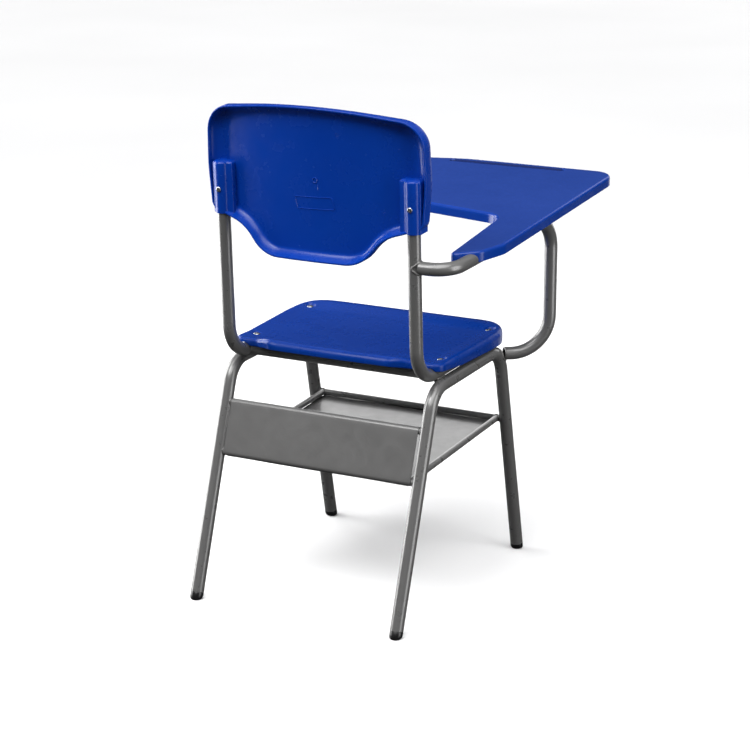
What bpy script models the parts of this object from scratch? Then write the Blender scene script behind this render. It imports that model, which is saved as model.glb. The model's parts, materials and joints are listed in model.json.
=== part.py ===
"""Student desk chair: welded steel tube frame, moulded seat and back, writing tablet and book rack.

All lengths are in metres.  X = 0 is the mid-plane of the chair, the sitter looks towards -Y, the
tablet is on the -X side, Y = 0 is the rear top corner of the leg frames and Z = 0 is the floor.
At the end everything hangs from one empty that puts the middle of the footprint on the origin.
"""

import math

import bmesh
import bpy
from mathutils import Vector

GAP = 0.0003

# Steel tube shared by the legs, the back tubes, the cross tubes and the tablet tube.
TUBE_R = 0.0111
TUBE_WALL = 0.0015
TUBE_SIDES = 16
BEND_STEPS = 5

# Leg frames: one inverted U on each side.
LEG_X = 0.1905
LEG_REAR_FOOT_Y = 0.1331
LEG_REAR_TOP = (0.0, 0.3875)
LEG_FRONT_TOP = (-0.2578, 0.3943)
LEG_FRONT_FOOT_Y = -0.3476
LEG_BEND_R = 0.050
TUBE_END_Z = 0.012
CAP_SPIGOT = 0.015

# Back tubes: an L on each side, seat rail and upright in one piece.
BACK_TUBE_X = 0.176
RAIL_Z0 = 0.405
RAIL_SLOPE = -0.0262
UPRIGHT_REF = (0.0355, 0.500)
RECLINE = 0.0525
BACK_TUBE_TOP_Z = 0.730
BACK_TUBE_BEND_R = 0.060
RAIL_FRONT_Y = -0.270

# Cross tubes between the two seat rails.
REAR_CROSS_Y = -0.031
FRONT_CROSS_Y = -0.215
FRONT_CROSS_DROP = 0.005

# Seat shell.
SKIN = 0.004
SEAT_HALF_REAR = 0.197
SEAT_HALF_FRONT = 0.204
SEAT_REAR_Y = 0.006
SEAT_CORNER_Y = -0.014
SEAT_FRONT_Y = -0.3065
SEAT_CORNER_R = 0.074
SEAT_CREST_Y = -0.268
SEAT_CREST_Z = 0.4345
SEAT_FALL = 0.016
SEAT_FALL_RUN = 0.045
SEAT_REAR_RIDGE_Z = 0.4335
SEAT_RIM_RISE = 0.0055
SEAT_DISH = 0.0050
SEAT_MID_Y = -0.150
SEAT_RELIEF = 0.001
RIVET_Y = (-0.057, -0.246)
RIVET_DIMPLE_R = 0.0075
RIVET_HOLE_R = 0.0026
RIVET_SHANK_R = 0.0023
RIVET_BULB_R = 0.0034
RIVET_BULB_H = 0.0054
RIVET_HEAD_R = 0.0060
RIVET_HEAD_H = 0.0020

# Back shell.
BACK_CURVE_R = 0.640
BACK_SKIN_Y = 0.008
BACK_HALF_WIDTH = 0.201
BACK_SCREW_Z = 0.698
BOSS_BOTTOM_Z = 0.6565
BOSS_TOP_Z = 0.743
BOSS_SLEEVE_R = 0.0133
BOSS_INNER_WING = 0.0225
BOSS_OUTER_WING = 0.0150
BOSS_WING_Y = 0.0050
BACK_HOLE_R = 0.0025
BACK_SCREW_R = 0.0022
BACK_SCREW_HEAD_R = 0.0045

# Tablet: its top face rises towards the front.
TABLET_Z0 = 0.618
TABLET_RISE = math.tan(math.radians(4.0))
TABLET_DEPTH = 0.018
TABLET_SKIN = 0.0035
TABLET_TUBE_DROP = 0.0154

# Tablet tube: from the right upright, under the tablet, down to the right leg frame.
TABLET_TUBE_REAR_Z = 0.6005
TABLET_TUBE_REAR_X = -0.238
TABLET_POST_X = -0.260
TABLET_POST_Y = -0.312
TABLET_TUBE_LOW_Z = 0.383
TABLET_TUBE_END_Z = 0.387
TABLET_TUBE_BENDS = (0.040, 0.051, 0.066)
BRACKET_T = 0.002
BRACKET_W = 0.044
BRACKET_REACH = 0.0285
BRACKET_AT = (0.30, 0.78)
BOSS_LENGTH = 0.006
BOSS_R = 0.0044
TABLET_HOLE_R = 0.0022
TABLET_SCREW_R = 0.0018
TABLET_SCREW_HEAD_R = 0.0040

# Book rack.
ROD_R = 0.0055
SHEET_T = 0.0015
RACK_TOP_Z = 0.327
RACK_BOTTOM_Z = 0.236
RACK_FRONT_Z = 0.259
RACK_HALF_REAR = 0.1775
RACK_HALF_SHELF = 0.1675

# Finishes: base colour, roughness, metallic.
GREY_STEEL = ((0.16, 0.16, 0.165), 0.42, 0.6)
BLUE_PLASTIC = ((0.012, 0.045, 0.32), 0.34, 0.0)
BLACK_RUBBER = ((0.008, 0.008, 0.008), 0.45, 0.0)
ZINC = ((0.60, 0.61, 0.62), 0.35, 1.0)


# ---------------------------------------------------------------------------------------------
# Helpers
# ---------------------------------------------------------------------------------------------


def clear_scene():
    for old in list(bpy.data.objects):
        bpy.data.objects.remove(old, do_unlink=True)


def finish_material(name, finish):
    colour, roughness, metallic = finish
    made = bpy.data.materials.new(name + "_finish")
    made.use_nodes = True
    shader = made.node_tree.nodes["Principled BSDF"]
    shader.inputs["Base Color"].default_value = (*colour, 1.0)
    shader.inputs["Roughness"].default_value = roughness
    shader.inputs["Metallic"].default_value = metallic
    return made


def make_object(name, verts, faces, finish=None, smooth=40.0):
    """A closed mesh object; without a finish it is a cutter that only serves Booleans."""
    mesh = bpy.data.meshes.new(name)
    mesh.from_pydata([tuple(v) for v in verts], [], faces)
    work = bmesh.new()
    work.from_mesh(mesh)
    bmesh.ops.recalc_face_normals(work, faces=work.faces)
    work.to_mesh(mesh)
    work.free()
    mesh.shade_smooth()
    mesh.set_sharp_from_angle(angle=math.radians(smooth))
    made = bpy.data.objects.new(name, mesh)
    bpy.context.scene.collection.objects.link(made)
    if finish is None:
        made.hide_render = True
        made.display_type = "WIRE"
    else:
        mesh.materials.append(finish_material(name, finish))
    return made


def boolean(target, cutter, operation="DIFFERENCE"):
    step = target.modifiers.new(operation.lower() + "_" + cutter.name, "BOOLEAN")
    step.object = cutter
    step.operation = operation
    step.solver = "EXACT"


def rounded_corner(before, corner, after, radius, steps):
    """Points of the arc that rounds one corner of a path, in 2-D or 3-D."""
    a = (before - corner).normalized()
    b = (after - corner).normalized()
    half = a.angle(b) / 2.0
    reach = radius / math.tan(half)
    centre = corner + (a + b).normalized() * (radius / math.sin(half))
    u = corner + a * reach - centre
    v = corner + b * reach - centre
    sweep = u.angle(v)
    return [
        centre + (u * math.sin((1 - k / steps) * sweep) + v * math.sin(k / steps * sweep)) / math.sin(sweep)
        for k in range(steps + 1)
    ]


def bent_path(points, radii, steps=BEND_STEPS):
    points = [Vector(p) for p in points]
    path = [points[0]]
    for i, radius in enumerate(radii, start=1):
        path += rounded_corner(points[i - 1], points[i], points[i + 1], radius, steps)
    return path + [points[-1]]


def outline(corners):
    """A closed 2-D outline from corners (x, y, radius, steps); radius 0 keeps the corner sharp."""
    loop = []
    count = len(corners)
    for i, (x, y, radius, steps) in enumerate(corners):
        here = Vector((x, y))
        before = Vector(corners[i - 1][:2])
        after = Vector(corners[(i + 1) % count][:2])
        loop += rounded_corner(before, here, after, radius, steps) if radius else [here]
    return loop


def inset(loop, distance):
    """The outline moved inwards; loops run counter-clockwise, so the inside is on the left."""
    moved = []
    for i, here in enumerate(loop):
        before = (here - loop[i - 1]).normalized()
        after = (loop[(i + 1) % len(loop)] - here).normalized()
        n1 = Vector((-before.y, before.x))
        n2 = Vector((-after.y, after.x))
        bisector = (n1 + n2).normalized()
        moved.append(here + bisector * (distance / max(bisector.dot(n1), 0.5)))
    return moved


def ring_frames(path):
    """Tangent, side and up vectors along a path, carried along without twist."""
    tangents = []
    for i in range(len(path)):
        ahead = path[min(i + 1, len(path) - 1)] - path[i]
        behind = path[i] - path[max(i - 1, 0)]
        tangents.append((ahead.normalized() + behind.normalized()).normalized())
    side = tangents[0].orthogonal().normalized()
    frames = []
    for tangent in tangents:
        side = (side - tangent * side.dot(tangent)).normalized()
        frames.append((tangent, side, tangent.cross(side)))
    return frames


def ring(centre, side, up, radius, sides):
    turn = 2.0 * math.pi / sides
    return [
        centre + (side * math.cos(k * turn) + up * math.sin(k * turn)) * radius for k in range(sides)
    ]


def loft(rings, closed=False, cap=True):
    """Vertices and faces of a skin over equal rings; capped at both ends, or joined end to end."""
    size = len(rings[0])
    verts = [v for one in rings for v in one]
    faces = []
    spans = len(rings) if closed else len(rings) - 1
    for r in range(spans):
        a = r * size
        b = ((r + 1) % len(rings)) * size
        for k in range(size):
            n = (k + 1) % size
            faces.append((a + k, a + n, b + n, b + k))
    if cap and not closed:
        faces.append(tuple(range(size)))
        faces.append(tuple((len(rings) - 1) * size + k for k in range(size)))
    return verts, faces


def tube(name, path, finish=GREY_STEEL, radius=TUBE_R, wall=TUBE_WALL, sides=TUBE_SIDES):
    """A hollow tube with open ends along a path."""
    frames = ring_frames(path)
    outer = [ring(c, s, u, radius, sides) for c, (_, s, u) in zip(path, frames)]
    inner = [ring(c, s, u, radius - wall, sides) for c, (_, s, u) in zip(path, frames)]
    verts, faces = loft(outer + inner[::-1], closed=True)
    return make_object(name, verts, faces, finish)


def rod(name, path, radius, finish=None, sides=TUBE_SIDES):
    """A solid round bar along a path; with no finish it is a cutter."""
    rings = [ring(c, s, u, radius, sides) for c, (_, s, u) in zip(path, ring_frames(path))]
    return make_object(name, *loft(rings), finish)


def turned(name, origin, axis, profile, finish=None, sides=12):
    """A solid of revolution; the profile is (radius, distance along the axis) pairs."""
    axis = axis.normalized()
    side = axis.orthogonal().normalized()
    up = axis.cross(side)
    rings = [ring(origin + axis * along, side, up, radius, sides) for radius, along in profile]
    return make_object(name, *loft(rings), finish)


# ---------------------------------------------------------------------------------------------
# Frame geometry
# ---------------------------------------------------------------------------------------------


def rail_z(y):
    return RAIL_Z0 + RAIL_SLOPE * y


def upright_y(z):
    return UPRIGHT_REF[0] + RECLINE * (z - UPRIGHT_REF[1])


def leg_path(side):
    x = side * LEG_X
    rear_lean = (LEG_REAR_FOOT_Y - LEG_REAR_TOP[0]) / LEG_REAR_TOP[1]
    front_lean = (LEG_FRONT_FOOT_Y - LEG_FRONT_TOP[0]) / LEG_FRONT_TOP[1]
    points = (
        (x, LEG_REAR_FOOT_Y - rear_lean * TUBE_END_Z, TUBE_END_Z),
        (x, *LEG_REAR_TOP),
        (x, *LEG_FRONT_TOP),
        (x, LEG_FRONT_FOOT_Y - front_lean * TUBE_END_Z, TUBE_END_Z),
    )
    return bent_path(points, (LEG_BEND_R, LEG_BEND_R))


def back_tube_path(side):
    x = side * BACK_TUBE_X
    corner_y = (UPRIGHT_REF[0] + RECLINE * (RAIL_Z0 - UPRIGHT_REF[1])) / (1.0 - RECLINE * RAIL_SLOPE)
    points = (
        (x, upright_y(BACK_TUBE_TOP_Z), BACK_TUBE_TOP_Z),
        (x, corner_y, rail_z(corner_y)),
        (x, RAIL_FRONT_Y, rail_z(RAIL_FRONT_Y)),
    )
    return bent_path(points, (BACK_TUBE_BEND_R,), steps=6)


def tablet_z(y):
    return TABLET_Z0 - TABLET_RISE * y


def tablet_tube_path():
    post_top = tablet_z(TABLET_POST_Y) - TABLET_TUBE_DROP
    rear_y = upright_y(TABLET_TUBE_REAR_Z)
    points = (
        (-BACK_TUBE_X, rear_y, TABLET_TUBE_REAR_Z),
        (TABLET_TUBE_REAR_X, rear_y, TABLET_TUBE_REAR_Z),
        (TABLET_POST_X, TABLET_POST_Y, post_top),
        (TABLET_POST_X, TABLET_POST_Y, TABLET_TUBE_LOW_Z),
        (-LEG_X, LEG_FRONT_TOP[0] + 0.004, TABLET_TUBE_END_Z),
    )
    return bent_path(points, TABLET_TUBE_BENDS)


def build_frame(cutters):
    for side, word in ((1, "left"), (-1, "right")):
        tube("leg_frame_" + word, leg_path(side))
        cutters["leg_" + word] = rod("cutter_leg_" + word, leg_path(side), TUBE_R + GAP)
        cutters["tube_" + word] = tube("back_tube_" + word, back_tube_path(side))
        cutters["back_" + word] = rod("cutter_back_" + word, back_tube_path(side), TUBE_R + GAP)
    for word, y, drop in (("rear", REAR_CROSS_Y, 0.0), ("front", FRONT_CROSS_Y, FRONT_CROSS_DROP)):
        ends = [Vector((side * BACK_TUBE_X, y, rail_z(y) - drop)) for side in (1, -1)]
        cross = tube("cross_tube_" + word, ends)
        boolean(cross, cutters["back_left"])
        boolean(cross, cutters["back_right"])
    tablet_tube = tube("tablet_tube", tablet_tube_path())
    boolean(tablet_tube, cutters["back_right"])
    boolean(tablet_tube, cutters["leg_right"])


def build_foot_caps():
    """Plug-in caps: a spigot in the tube, a collar flush with it and a dome cut flat at the floor."""
    dome = ((0.0075, 0.0), (0.0100, 0.0016), (TUBE_R, 0.0048))
    bore = TUBE_R - TUBE_WALL - GAP
    for side, word in ((1, "left"), (-1, "right")):
        path = leg_path(side)
        for place, end, inner in (("rear", path[0], path[1]), ("front", path[-1], path[-2])):
            axis = (inner - end).normalized()
            across = Vector((1, 0, 0))
            up = axis.cross(across)
            rings = []
            for radius, height in dome:
                flat = ring(end, across, up, radius, TUBE_SIDES)
                rings.append([p + axis * ((height - p.z) / axis.z) for p in flat])
            rings.append(ring(end - axis * GAP, across, up, TUBE_R, TUBE_SIDES))
            rings.append(ring(end - axis * GAP, across, up, bore, TUBE_SIDES))
            rings.append(ring(end + axis * CAP_SPIGOT, across, up, bore, TUBE_SIDES))
            make_object("foot_cap_" + place + "_" + word, *loft(rings), BLACK_RUBBER)


def build_rail_plugs():
    """Flat plastic plugs in the hidden front ends of the seat rails."""
    for side, word in ((1, "left"), (-1, "right")):
        path = back_tube_path(side)
        axis = (path[-1] - path[-2]).normalized()
        bore = TUBE_R - TUBE_WALL - GAP
        profile = ((bore, -0.012), (bore, GAP), (TUBE_R, GAP), (TUBE_R, 0.0024), (0.0090, 0.0034))
        turned("rail_plug_" + word, path[-1], axis, profile, BLACK_RUBBER, sides=TUBE_SIDES)


# ---------------------------------------------------------------------------------------------
# Seat
# ---------------------------------------------------------------------------------------------


def smooth_step(low, high, value):
    t = min(max((value - low) / (high - low), 0.0), 1.0)
    return t * t * (3.0 - 2.0 * t)


def land_z(y):
    """Top of the seat skin where it lies on the rails."""
    return rail_z(y) + TUBE_R + GAP + SKIN


def waterfall(y):
    """Drop of the seat in front of its crest."""
    beyond = min(max((SEAT_CREST_Y - y) / SEAT_FALL_RUN, 0.0), 1.0)
    return SEAT_FALL * (1.0 - math.sqrt(1.0 - beyond * beyond))


def rim_z(x, y):
    """Height of the raised rim that runs round the seat."""
    side = land_z(y) + SEAT_RIM_RISE
    rear = smooth_step(-0.060, -0.010, y) * (1.0 - smooth_step(0.118, 0.156, abs(x)))
    front = smooth_step(0.225, 0.275, -y)
    height = side + (SEAT_REAR_RIDGE_Z - side) * rear
    return height + (SEAT_CREST_Z - height) * front - waterfall(y)


def seat_z(x, y):
    """Height of the sitting surface: flat lands over the rails, a dish between the cross tubes."""
    land = land_z(y)
    across = max(1.0 - (x / 0.150) ** 2, 0.0)
    along = max(1.0 - ((y + 0.125) / 0.080) ** 2, 0.0)
    height = land - SEAT_DISH * across * along
    return height + (SEAT_CREST_Z - height) * smooth_step(0.248, 0.280, -y) - waterfall(y)


def skirt_z(x, y):
    """Lower edge of the turned-down skirt."""
    rear = smooth_step(-0.100, -0.010, y)
    lift = 0.005 + 0.004 * (1.0 - smooth_step(0.118, 0.156, abs(x)))
    return 0.409 + lift * rear - 0.003 * smooth_step(0.270, -SEAT_FRONT_Y, -y)


def seat_outline(rear_y, corner_y):
    """Counter-clockwise from above; the rear edge steps forwards near the uprights."""
    half = (
        (0.118, rear_y, 0.020, 2),
        (0.150, corner_y, 0.020, 2),
        (SEAT_HALF_REAR, corner_y, 0.018, 4),
        (SEAT_HALF_FRONT, -0.200, 0.300, 2),
        (SEAT_HALF_FRONT - 0.001, SEAT_FRONT_Y, SEAT_CORNER_R, 6),
    )
    front_bow = ((0.0, SEAT_FRONT_Y - 0.004, 0.900, 3),)
    rear_bow = ((0.0, rear_y + 0.002, 0.900, 3),)
    mirrored = tuple((-x, y, r, n) for x, y, r, n in reversed(half))
    return outline((rear_bow + half + front_bow + mirrored)[::-1])


def build_seat(cutters):
    loop = seat_outline(SEAT_REAR_Y, SEAT_CORNER_Y)
    middle = Vector((0.0, SEAT_MID_Y))
    field = inset(seat_outline(SEAT_CORNER_Y - 0.002, SEAT_CORNER_Y - 0.006), 0.018)

    def sitting(scale, drop):
        flat = [middle + (p - middle) * scale for p in field]
        return [Vector((p.x, p.y, seat_z(p.x, p.y) - drop)) for p in flat]

    def rim(distance, drop):
        moved = inset(loop, distance)
        return [Vector((p.x, p.y, rim_z(q.x, q.y) - drop)) for p, q in zip(moved, loop)]

    def hem(distance):
        moved = inset(loop, distance)
        return [Vector((p.x, p.y, skirt_z(q.x, q.y))) for p, q in zip(moved, loop)]

    scales = (0.18, 0.44, 0.72, 1.0)
    rings = [sitting(scale, 0.0) for scale in scales]
    rings += [rim(0.0065, 0.0), rim(0.0020, 0.0016), rim(0.0, 0.0060), hem(0.0)]
    rings += [hem(SKIN), rim(SKIN, 0.0060 + SKIN / 2.0), rim(0.0075, SKIN)]
    rings += [sitting(scale, SKIN) for scale in scales[::-1]]
    seat = make_object("seat_shell", *loft(rings), BLUE_PLASTIC)
    for side, word in ((1, "left"), (-1, "right")):
        relief = rod("cutter_seat_" + word, back_tube_path(side), TUBE_R + SEAT_RELIEF, sides=12)
        boolean(seat, relief)
        for place, y in zip(("rear", "front"), RIVET_Y):
            name = place + "_" + word
            foot = Vector((side * BACK_TUBE_X, y, rail_z(y)))
            build_rivet(name, foot, (seat, cutters["tube_" + word]))


def build_rivet(name, foot, holed):
    """A blind rivet: head in a dimple of the seat, bulb inside the rail; foot is on the rail's axis."""
    up = Vector((0.0, -RAIL_SLOPE, 1.0)).normalized()
    head = TUBE_R + SEAT_RELIEF + SKIN + 2.0 * GAP
    floor = head - GAP
    bore = (
        (RIVET_HOLE_R, 0.0),
        (RIVET_HOLE_R, floor),
        (RIVET_DIMPLE_R, floor),
        (RIVET_DIMPLE_R, head + 0.020),
    )
    hole = turned("cutter_rivet_" + name, foot, up, bore)
    for part in holed:
        boolean(part, hole)
    bulb = TUBE_R - TUBE_WALL - 0.0012
    profile = (
        (RIVET_BULB_R / 3.0, bulb - RIVET_BULB_H),
        (RIVET_BULB_R, bulb - RIVET_BULB_H * 0.8),
        (RIVET_BULB_R, bulb - RIVET_BULB_H * 0.25),
        (RIVET_SHANK_R, bulb),
        (RIVET_SHANK_R, head),
        (RIVET_HEAD_R, head),
        (RIVET_HEAD_R * 0.93, head + RIVET_HEAD_H * 0.5),
        (RIVET_HEAD_R * 0.60, head + RIVET_HEAD_H),
    )
    turned("seat_rivet_" + name, foot, up, profile, ZINC)


# ---------------------------------------------------------------------------------------------
# Back
# ---------------------------------------------------------------------------------------------


def back_point(x, z, depth):
    """A point of the back shell; depth is measured rearwards from the plane of the uprights."""
    return Vector((x, upright_y(z) + depth, z - RECLINE * depth))


def back_front(x):
    """Depth of the front face, an arc in plan."""
    return BACK_SKIN_Y - x * x / (2.0 * BACK_CURVE_R)


def back_rim(x, z):
    """Depth of the rear edge of the rim: deep at the sides, shallow at the bottom lobe."""
    height = 0.0160 - 0.0030 * smooth_step(0.600, 0.700, z) + 0.0095 * (x / BACK_HALF_WIDTH) ** 2
    return back_front(x) + SKIN + height


def back_outline():
    half = (
        (0.1976, 0.8342, 0.048, 5),
        (BACK_HALF_WIDTH, 0.7350, 0.300, 2),
        (0.1950, 0.6650, 0.016, 4),
        (0.1274, 0.6446, 0.070, 4),
        (0.0904, 0.5970, 0.059, 5),
    )
    top = ((0.0, 0.8587, 1.000, 6),)
    mirrored = tuple((-x, z, r, n) for x, z, r, n in reversed(half))
    return outline((top + half + mirrored)[::-1])


def build_back(cutters):
    loop = back_outline()
    middle = Vector((0.0, 0.745))

    def front(distance, extra):
        return [back_point(p.x, p.y, back_front(p.x) + extra) for p in inset(loop, distance)]

    def rear(distance, drop):
        moved = inset(loop, distance)
        return [back_point(p.x, p.y, back_rim(q.x, q.y) - drop) for p, q in zip(moved, loop)]

    def field(scale, extra):
        flat = [middle + (p - middle) * scale for p in inset(loop, 0.014)]
        return [back_point(p.x, p.y, back_front(p.x) + extra) for p in flat]

    rings = [field(0.25, 0.0), field(0.6, 0.0), front(0.014, 0.0)]
    rings += [front(0.0035, 0.0008), front(0.0, 0.0045)]
    rings += [rear(0.0, 0.0030), rear(0.0012, 0.0), rear(0.0050, 0.0), rear(0.0095, 0.0055)]
    rings += [field(0.96, SKIN), field(0.6, SKIN), field(0.25, SKIN)]
    shell = make_object("back_shell", *loft(rings), BLUE_PLASTIC)
    for side, word in ((1, "left"), (-1, "right")):
        x = side * BACK_TUBE_X
        rear_arc = [math.radians(22.0 + 17.0 * k) for k in range(9)]
        left, right = sorted((x - side * BOSS_INNER_WING, x + side * BOSS_OUTER_WING))
        section = [
            (left, back_front(left) + SKIN / 2.0),
            (x, back_front(x) + SKIN / 2.0),
            (right, back_front(right) + SKIN / 2.0),
            (right - 0.0005, BOSS_WING_Y),
        ]
        section += [(x + BOSS_SLEEVE_R * math.cos(a), BOSS_SLEEVE_R * math.sin(a)) for a in rear_arc]
        section.append((left + 0.0005, BOSS_WING_Y))
        rings = [
            [back_point(px, z, depth) for px, depth in section]
            for z in (BOSS_BOTTOM_Z, BOSS_TOP_Z)
        ]
        boss = make_object("cutter_boss_" + word, *loft(rings))
        boolean(shell, boss, "UNION")
        top = Vector((x, upright_y(BACK_TUBE_TOP_Z + 0.001), BACK_TUBE_TOP_Z + 0.001))
        low = Vector((x, upright_y(0.620), 0.620))
        bore = rod("cutter_bore_" + word, [top, low], TUBE_R + GAP)
        boolean(shell, bore)
        heart = back_point(x, BACK_SCREW_Z, 0.0)
        axis = Vector((0.0, 1.0, -RECLINE))
        depth = ((BACK_HOLE_R, 0.0), (BACK_HOLE_R, 2.0 * BOSS_SLEEVE_R))
        hole = turned("cutter_screw_" + word, heart, axis, depth)
        boolean(shell, hole)
        boolean(cutters["tube_" + word], hole)
        profile = (
            (BACK_SCREW_R / 2.0, 0.0020),
            (BACK_SCREW_R, 0.0045),
            (BACK_SCREW_R, BOSS_SLEEVE_R + GAP),
            (BACK_SCREW_HEAD_R, BOSS_SLEEVE_R + GAP),
            (BACK_SCREW_HEAD_R * 0.93, BOSS_SLEEVE_R + 0.0016),
            (BACK_SCREW_HEAD_R * 0.58, BOSS_SLEEVE_R + 0.0024),
        )
        turned("back_screw_" + word, heart, axis, profile, ZINC)


# ---------------------------------------------------------------------------------------------
# Tablet
# ---------------------------------------------------------------------------------------------


def tablet_outline():
    """Counter-clockwise from above: writing surface with an armrest tongue towards the rear."""
    return outline(
        (
            (-0.2750, -0.5640, 0.035, 5),
            (0.0200, -0.5625, 0.250, 3),
            (0.1250, -0.5380, 0.060, 5),
            (0.1180, -0.2960, 0.050, 5),
            (-0.1990, -0.2380, 0.040, 5),
            (-0.2140, 0.0000, 0.008, 5),
            (-0.2580, -0.0370, 0.014, 3),
            (-0.2750, -0.0870, 0.030, 3),
        )
    )


def tablet_point(p, depth):
    return Vector((p.x, p.y, tablet_z(p.y) - depth))


def build_tablet():
    loop = tablet_outline()
    steps = (
        (0.0040, 0.0),
        (0.0012, 0.0012),
        (0.0, 0.0040),
        (0.0, TABLET_DEPTH),
        (0.0030, TABLET_DEPTH),
        (0.0034, TABLET_SKIN),
    )
    rings = [[tablet_point(p, depth) for p in inset(loop, distance)] for distance, depth in steps]
    tablet = make_object("tablet_top", *loft(rings), BLUE_PLASTIC)

    path = tablet_tube_path()
    relief = rod("cutter_tablet", path, TUBE_R + GAP)
    boolean(tablet, relief)

    start = path[BEND_STEPS + 1]
    stop = path[BEND_STEPS + 2]
    along = (stop - start).normalized()
    inboard = Vector((0.0, 0.0, 1.0)).cross(along).normalized()
    axes = (inboard, along, along.cross(inboard))
    for word, share in zip(("rear", "front"), BRACKET_AT):
        build_bracket(word, start + (stop - start) * share, axes, tablet, relief)


def build_bracket(word, heart, axes, tablet, relief):
    """A flat bracket on the inboard side of the tube, screwed up into two bosses of the tablet."""
    inboard, along, up = axes
    half = BRACKET_W / 2.0
    tray = tablet_z(heart.y) - heart.z - TABLET_SKIN
    top = tray - BOSS_LENGTH - GAP
    below = top - BRACKET_T - GAP
    shape = outline(
        (
            (0.002, -half, 0.0, 0),
            (BRACKET_REACH, -half, 0.007, 3),
            (BRACKET_REACH, half, 0.007, 3),
            (0.002, half, 0.0, 0),
        )
    )
    rings = [
        [heart + inboard * p.x + along * p.y + up * height for p in shape]
        for height in (top - BRACKET_T, top)
    ]
    bracket = make_object("tablet_bracket_" + word, *loft(rings), GREY_STEEL)
    boolean(bracket, relief)
    boss_profile = ((BOSS_R, top + GAP), (BOSS_R + 0.0006, tray + TABLET_SKIN / 2.0))
    hole_profile = ((TABLET_HOLE_R, below - 0.010), (TABLET_HOLE_R, tray + 0.0005))
    screw_profile = (
        (TABLET_SCREW_HEAD_R * 0.65, below - 0.0020),
        (TABLET_SCREW_HEAD_R * 0.93, below - 0.0012),
        (TABLET_SCREW_HEAD_R, below),
        (TABLET_SCREW_R, below),
        (TABLET_SCREW_R, tray - 0.0005),
    )
    for number, shift in (("a", 0.009 - half), ("b", half - 0.009)):
        name = word + "_" + number
        spot = heart + inboard * (BRACKET_REACH - 0.010) + along * shift
        boss = turned("cutter_boss_" + name, spot, up, boss_profile)
        boolean(tablet, boss, "UNION")
        hole = turned("cutter_hole_" + name, spot, up, hole_profile, sides=10)
        boolean(tablet, hole)
        boolean(bracket, hole)
        turned("tablet_screw_" + name, spot, up, screw_profile, ZINC, sides=10)


# ---------------------------------------------------------------------------------------------
# Book rack
# ---------------------------------------------------------------------------------------------


def leg_centre_y(z, place):
    if place == "rear":
        return LEG_REAR_FOOT_Y * (1.0 - z / LEG_REAR_TOP[1])
    share = z / LEG_FRONT_TOP[1]
    return LEG_FRONT_FOOT_Y + (LEG_FRONT_TOP[0] - LEG_FRONT_FOOT_Y) * share


def build_rack(cutters):
    """One bent sheet, welded to five round bars that end on the legs."""
    upper_z = RACK_TOP_Z - ROD_R
    lower_z = RACK_BOTTOM_Z + ROD_R + GAP
    spots = {
        "rear_upper": Vector((leg_centre_y(upper_z, "rear"), upper_z)),
        "rear_lower": Vector((leg_centre_y(lower_z, "rear"), lower_z)),
        "front": Vector((leg_centre_y(RACK_FRONT_Z, "front"), RACK_FRONT_Z)),
    }
    clearance = {}
    for place, spot in spots.items():
        ends = [Vector((side * LEG_X, spot.x, spot.y)) for side in (1, -1)]
        bar = rod("rack_bar_" + place, ends, ROD_R, GREY_STEEL, sides=12)
        boolean(bar, cutters["leg_left"])
        boolean(bar, cutters["leg_right"])
        if place != "rear_upper":
            clearance[place] = rod("cutter_bar_" + place, ends, ROD_R + GAP, sides=12)
    side_x = RACK_HALF_SHELF + 2.0 * GAP + ROD_R
    for side, word in ((1, "left"), (-1, "right")):
        ends = [Vector((side * side_x, *spots[place])) for place in ("rear_lower", "front")]
        bar = rod("rack_bar_side_" + word, ends, ROD_R, GREY_STEEL, sides=12)
        for cutter in clearance.values():
            boolean(bar, cutter)
    build_rack_sheet(spots["rear_upper"], spots["rear_lower"], spots["front"])


def build_rack_sheet(upper, lower, front):
    """Rear panel hooked over the upper bar, bent under the lower bar, shelf up to the front bar."""
    clear = ROD_R + GAP
    down = (lower - upper).normalized()
    behind = Vector((-down.y, down.x))
    along = (front - lower).normalized()
    below = Vector((-along.y, along.x))

    def side_view(away):
        return [
            upper - down * away - behind * (ROD_R * 0.6),
            upper - down * away + behind * away,
            lower + behind * away + down * away * 0.65,
            lower - along * away * 0.65 + below * away,
            lower + along * clear + below * away,
            front + below * away,
            front + along * clear + below * away,
        ]

    halves = (RACK_HALF_REAR,) * 4 + (RACK_HALF_SHELF,) * 3
    verts = []
    for side in (1, -1):
        for away in (clear, clear + SHEET_T):
            verts += [Vector((side * w, p.x, p.y)) for p, w in zip(side_view(away), halves)]
    count = len(halves)
    faces = []
    for a in range(count - 1):
        b, c, d = a + count, a + 2 * count, a + 3 * count
        faces += [(a, a + 1, c + 1, c), (b, b + 1, d + 1, d)]
        faces += [(a, a + 1, b + 1, b), (c, c + 1, d + 1, d)]
    for a in (0, count - 1):
        faces.append((a, a + count, a + 3 * count, a + 2 * count))
    make_object("rack_sheet", verts, faces, GREY_STEEL, smooth=30.0)


# ---------------------------------------------------------------------------------------------
# Assembly
# ---------------------------------------------------------------------------------------------


def stand_on_origin():
    """Hang every object from one empty and put the middle of the footprint on the origin."""
    bpy.context.view_layer.update()
    graph = bpy.context.evaluated_depsgraph_get()
    xs, ys = [], []
    shown = [o for o in bpy.data.objects if not o.hide_render]
    for obj in shown:
        mesh = obj.evaluated_get(graph).to_mesh()
        xs += [v.co.x for v in mesh.vertices]
        ys += [v.co.y for v in mesh.vertices]
    base = bpy.data.objects.new("chair", None)
    bpy.context.scene.collection.objects.link(base)
    for obj in list(bpy.data.objects):
        if obj is not base:
            obj.parent = base
    base.location = (-(min(xs) + max(xs)) / 2.0, -(min(ys) + max(ys)) / 2.0, 0.0)


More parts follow.
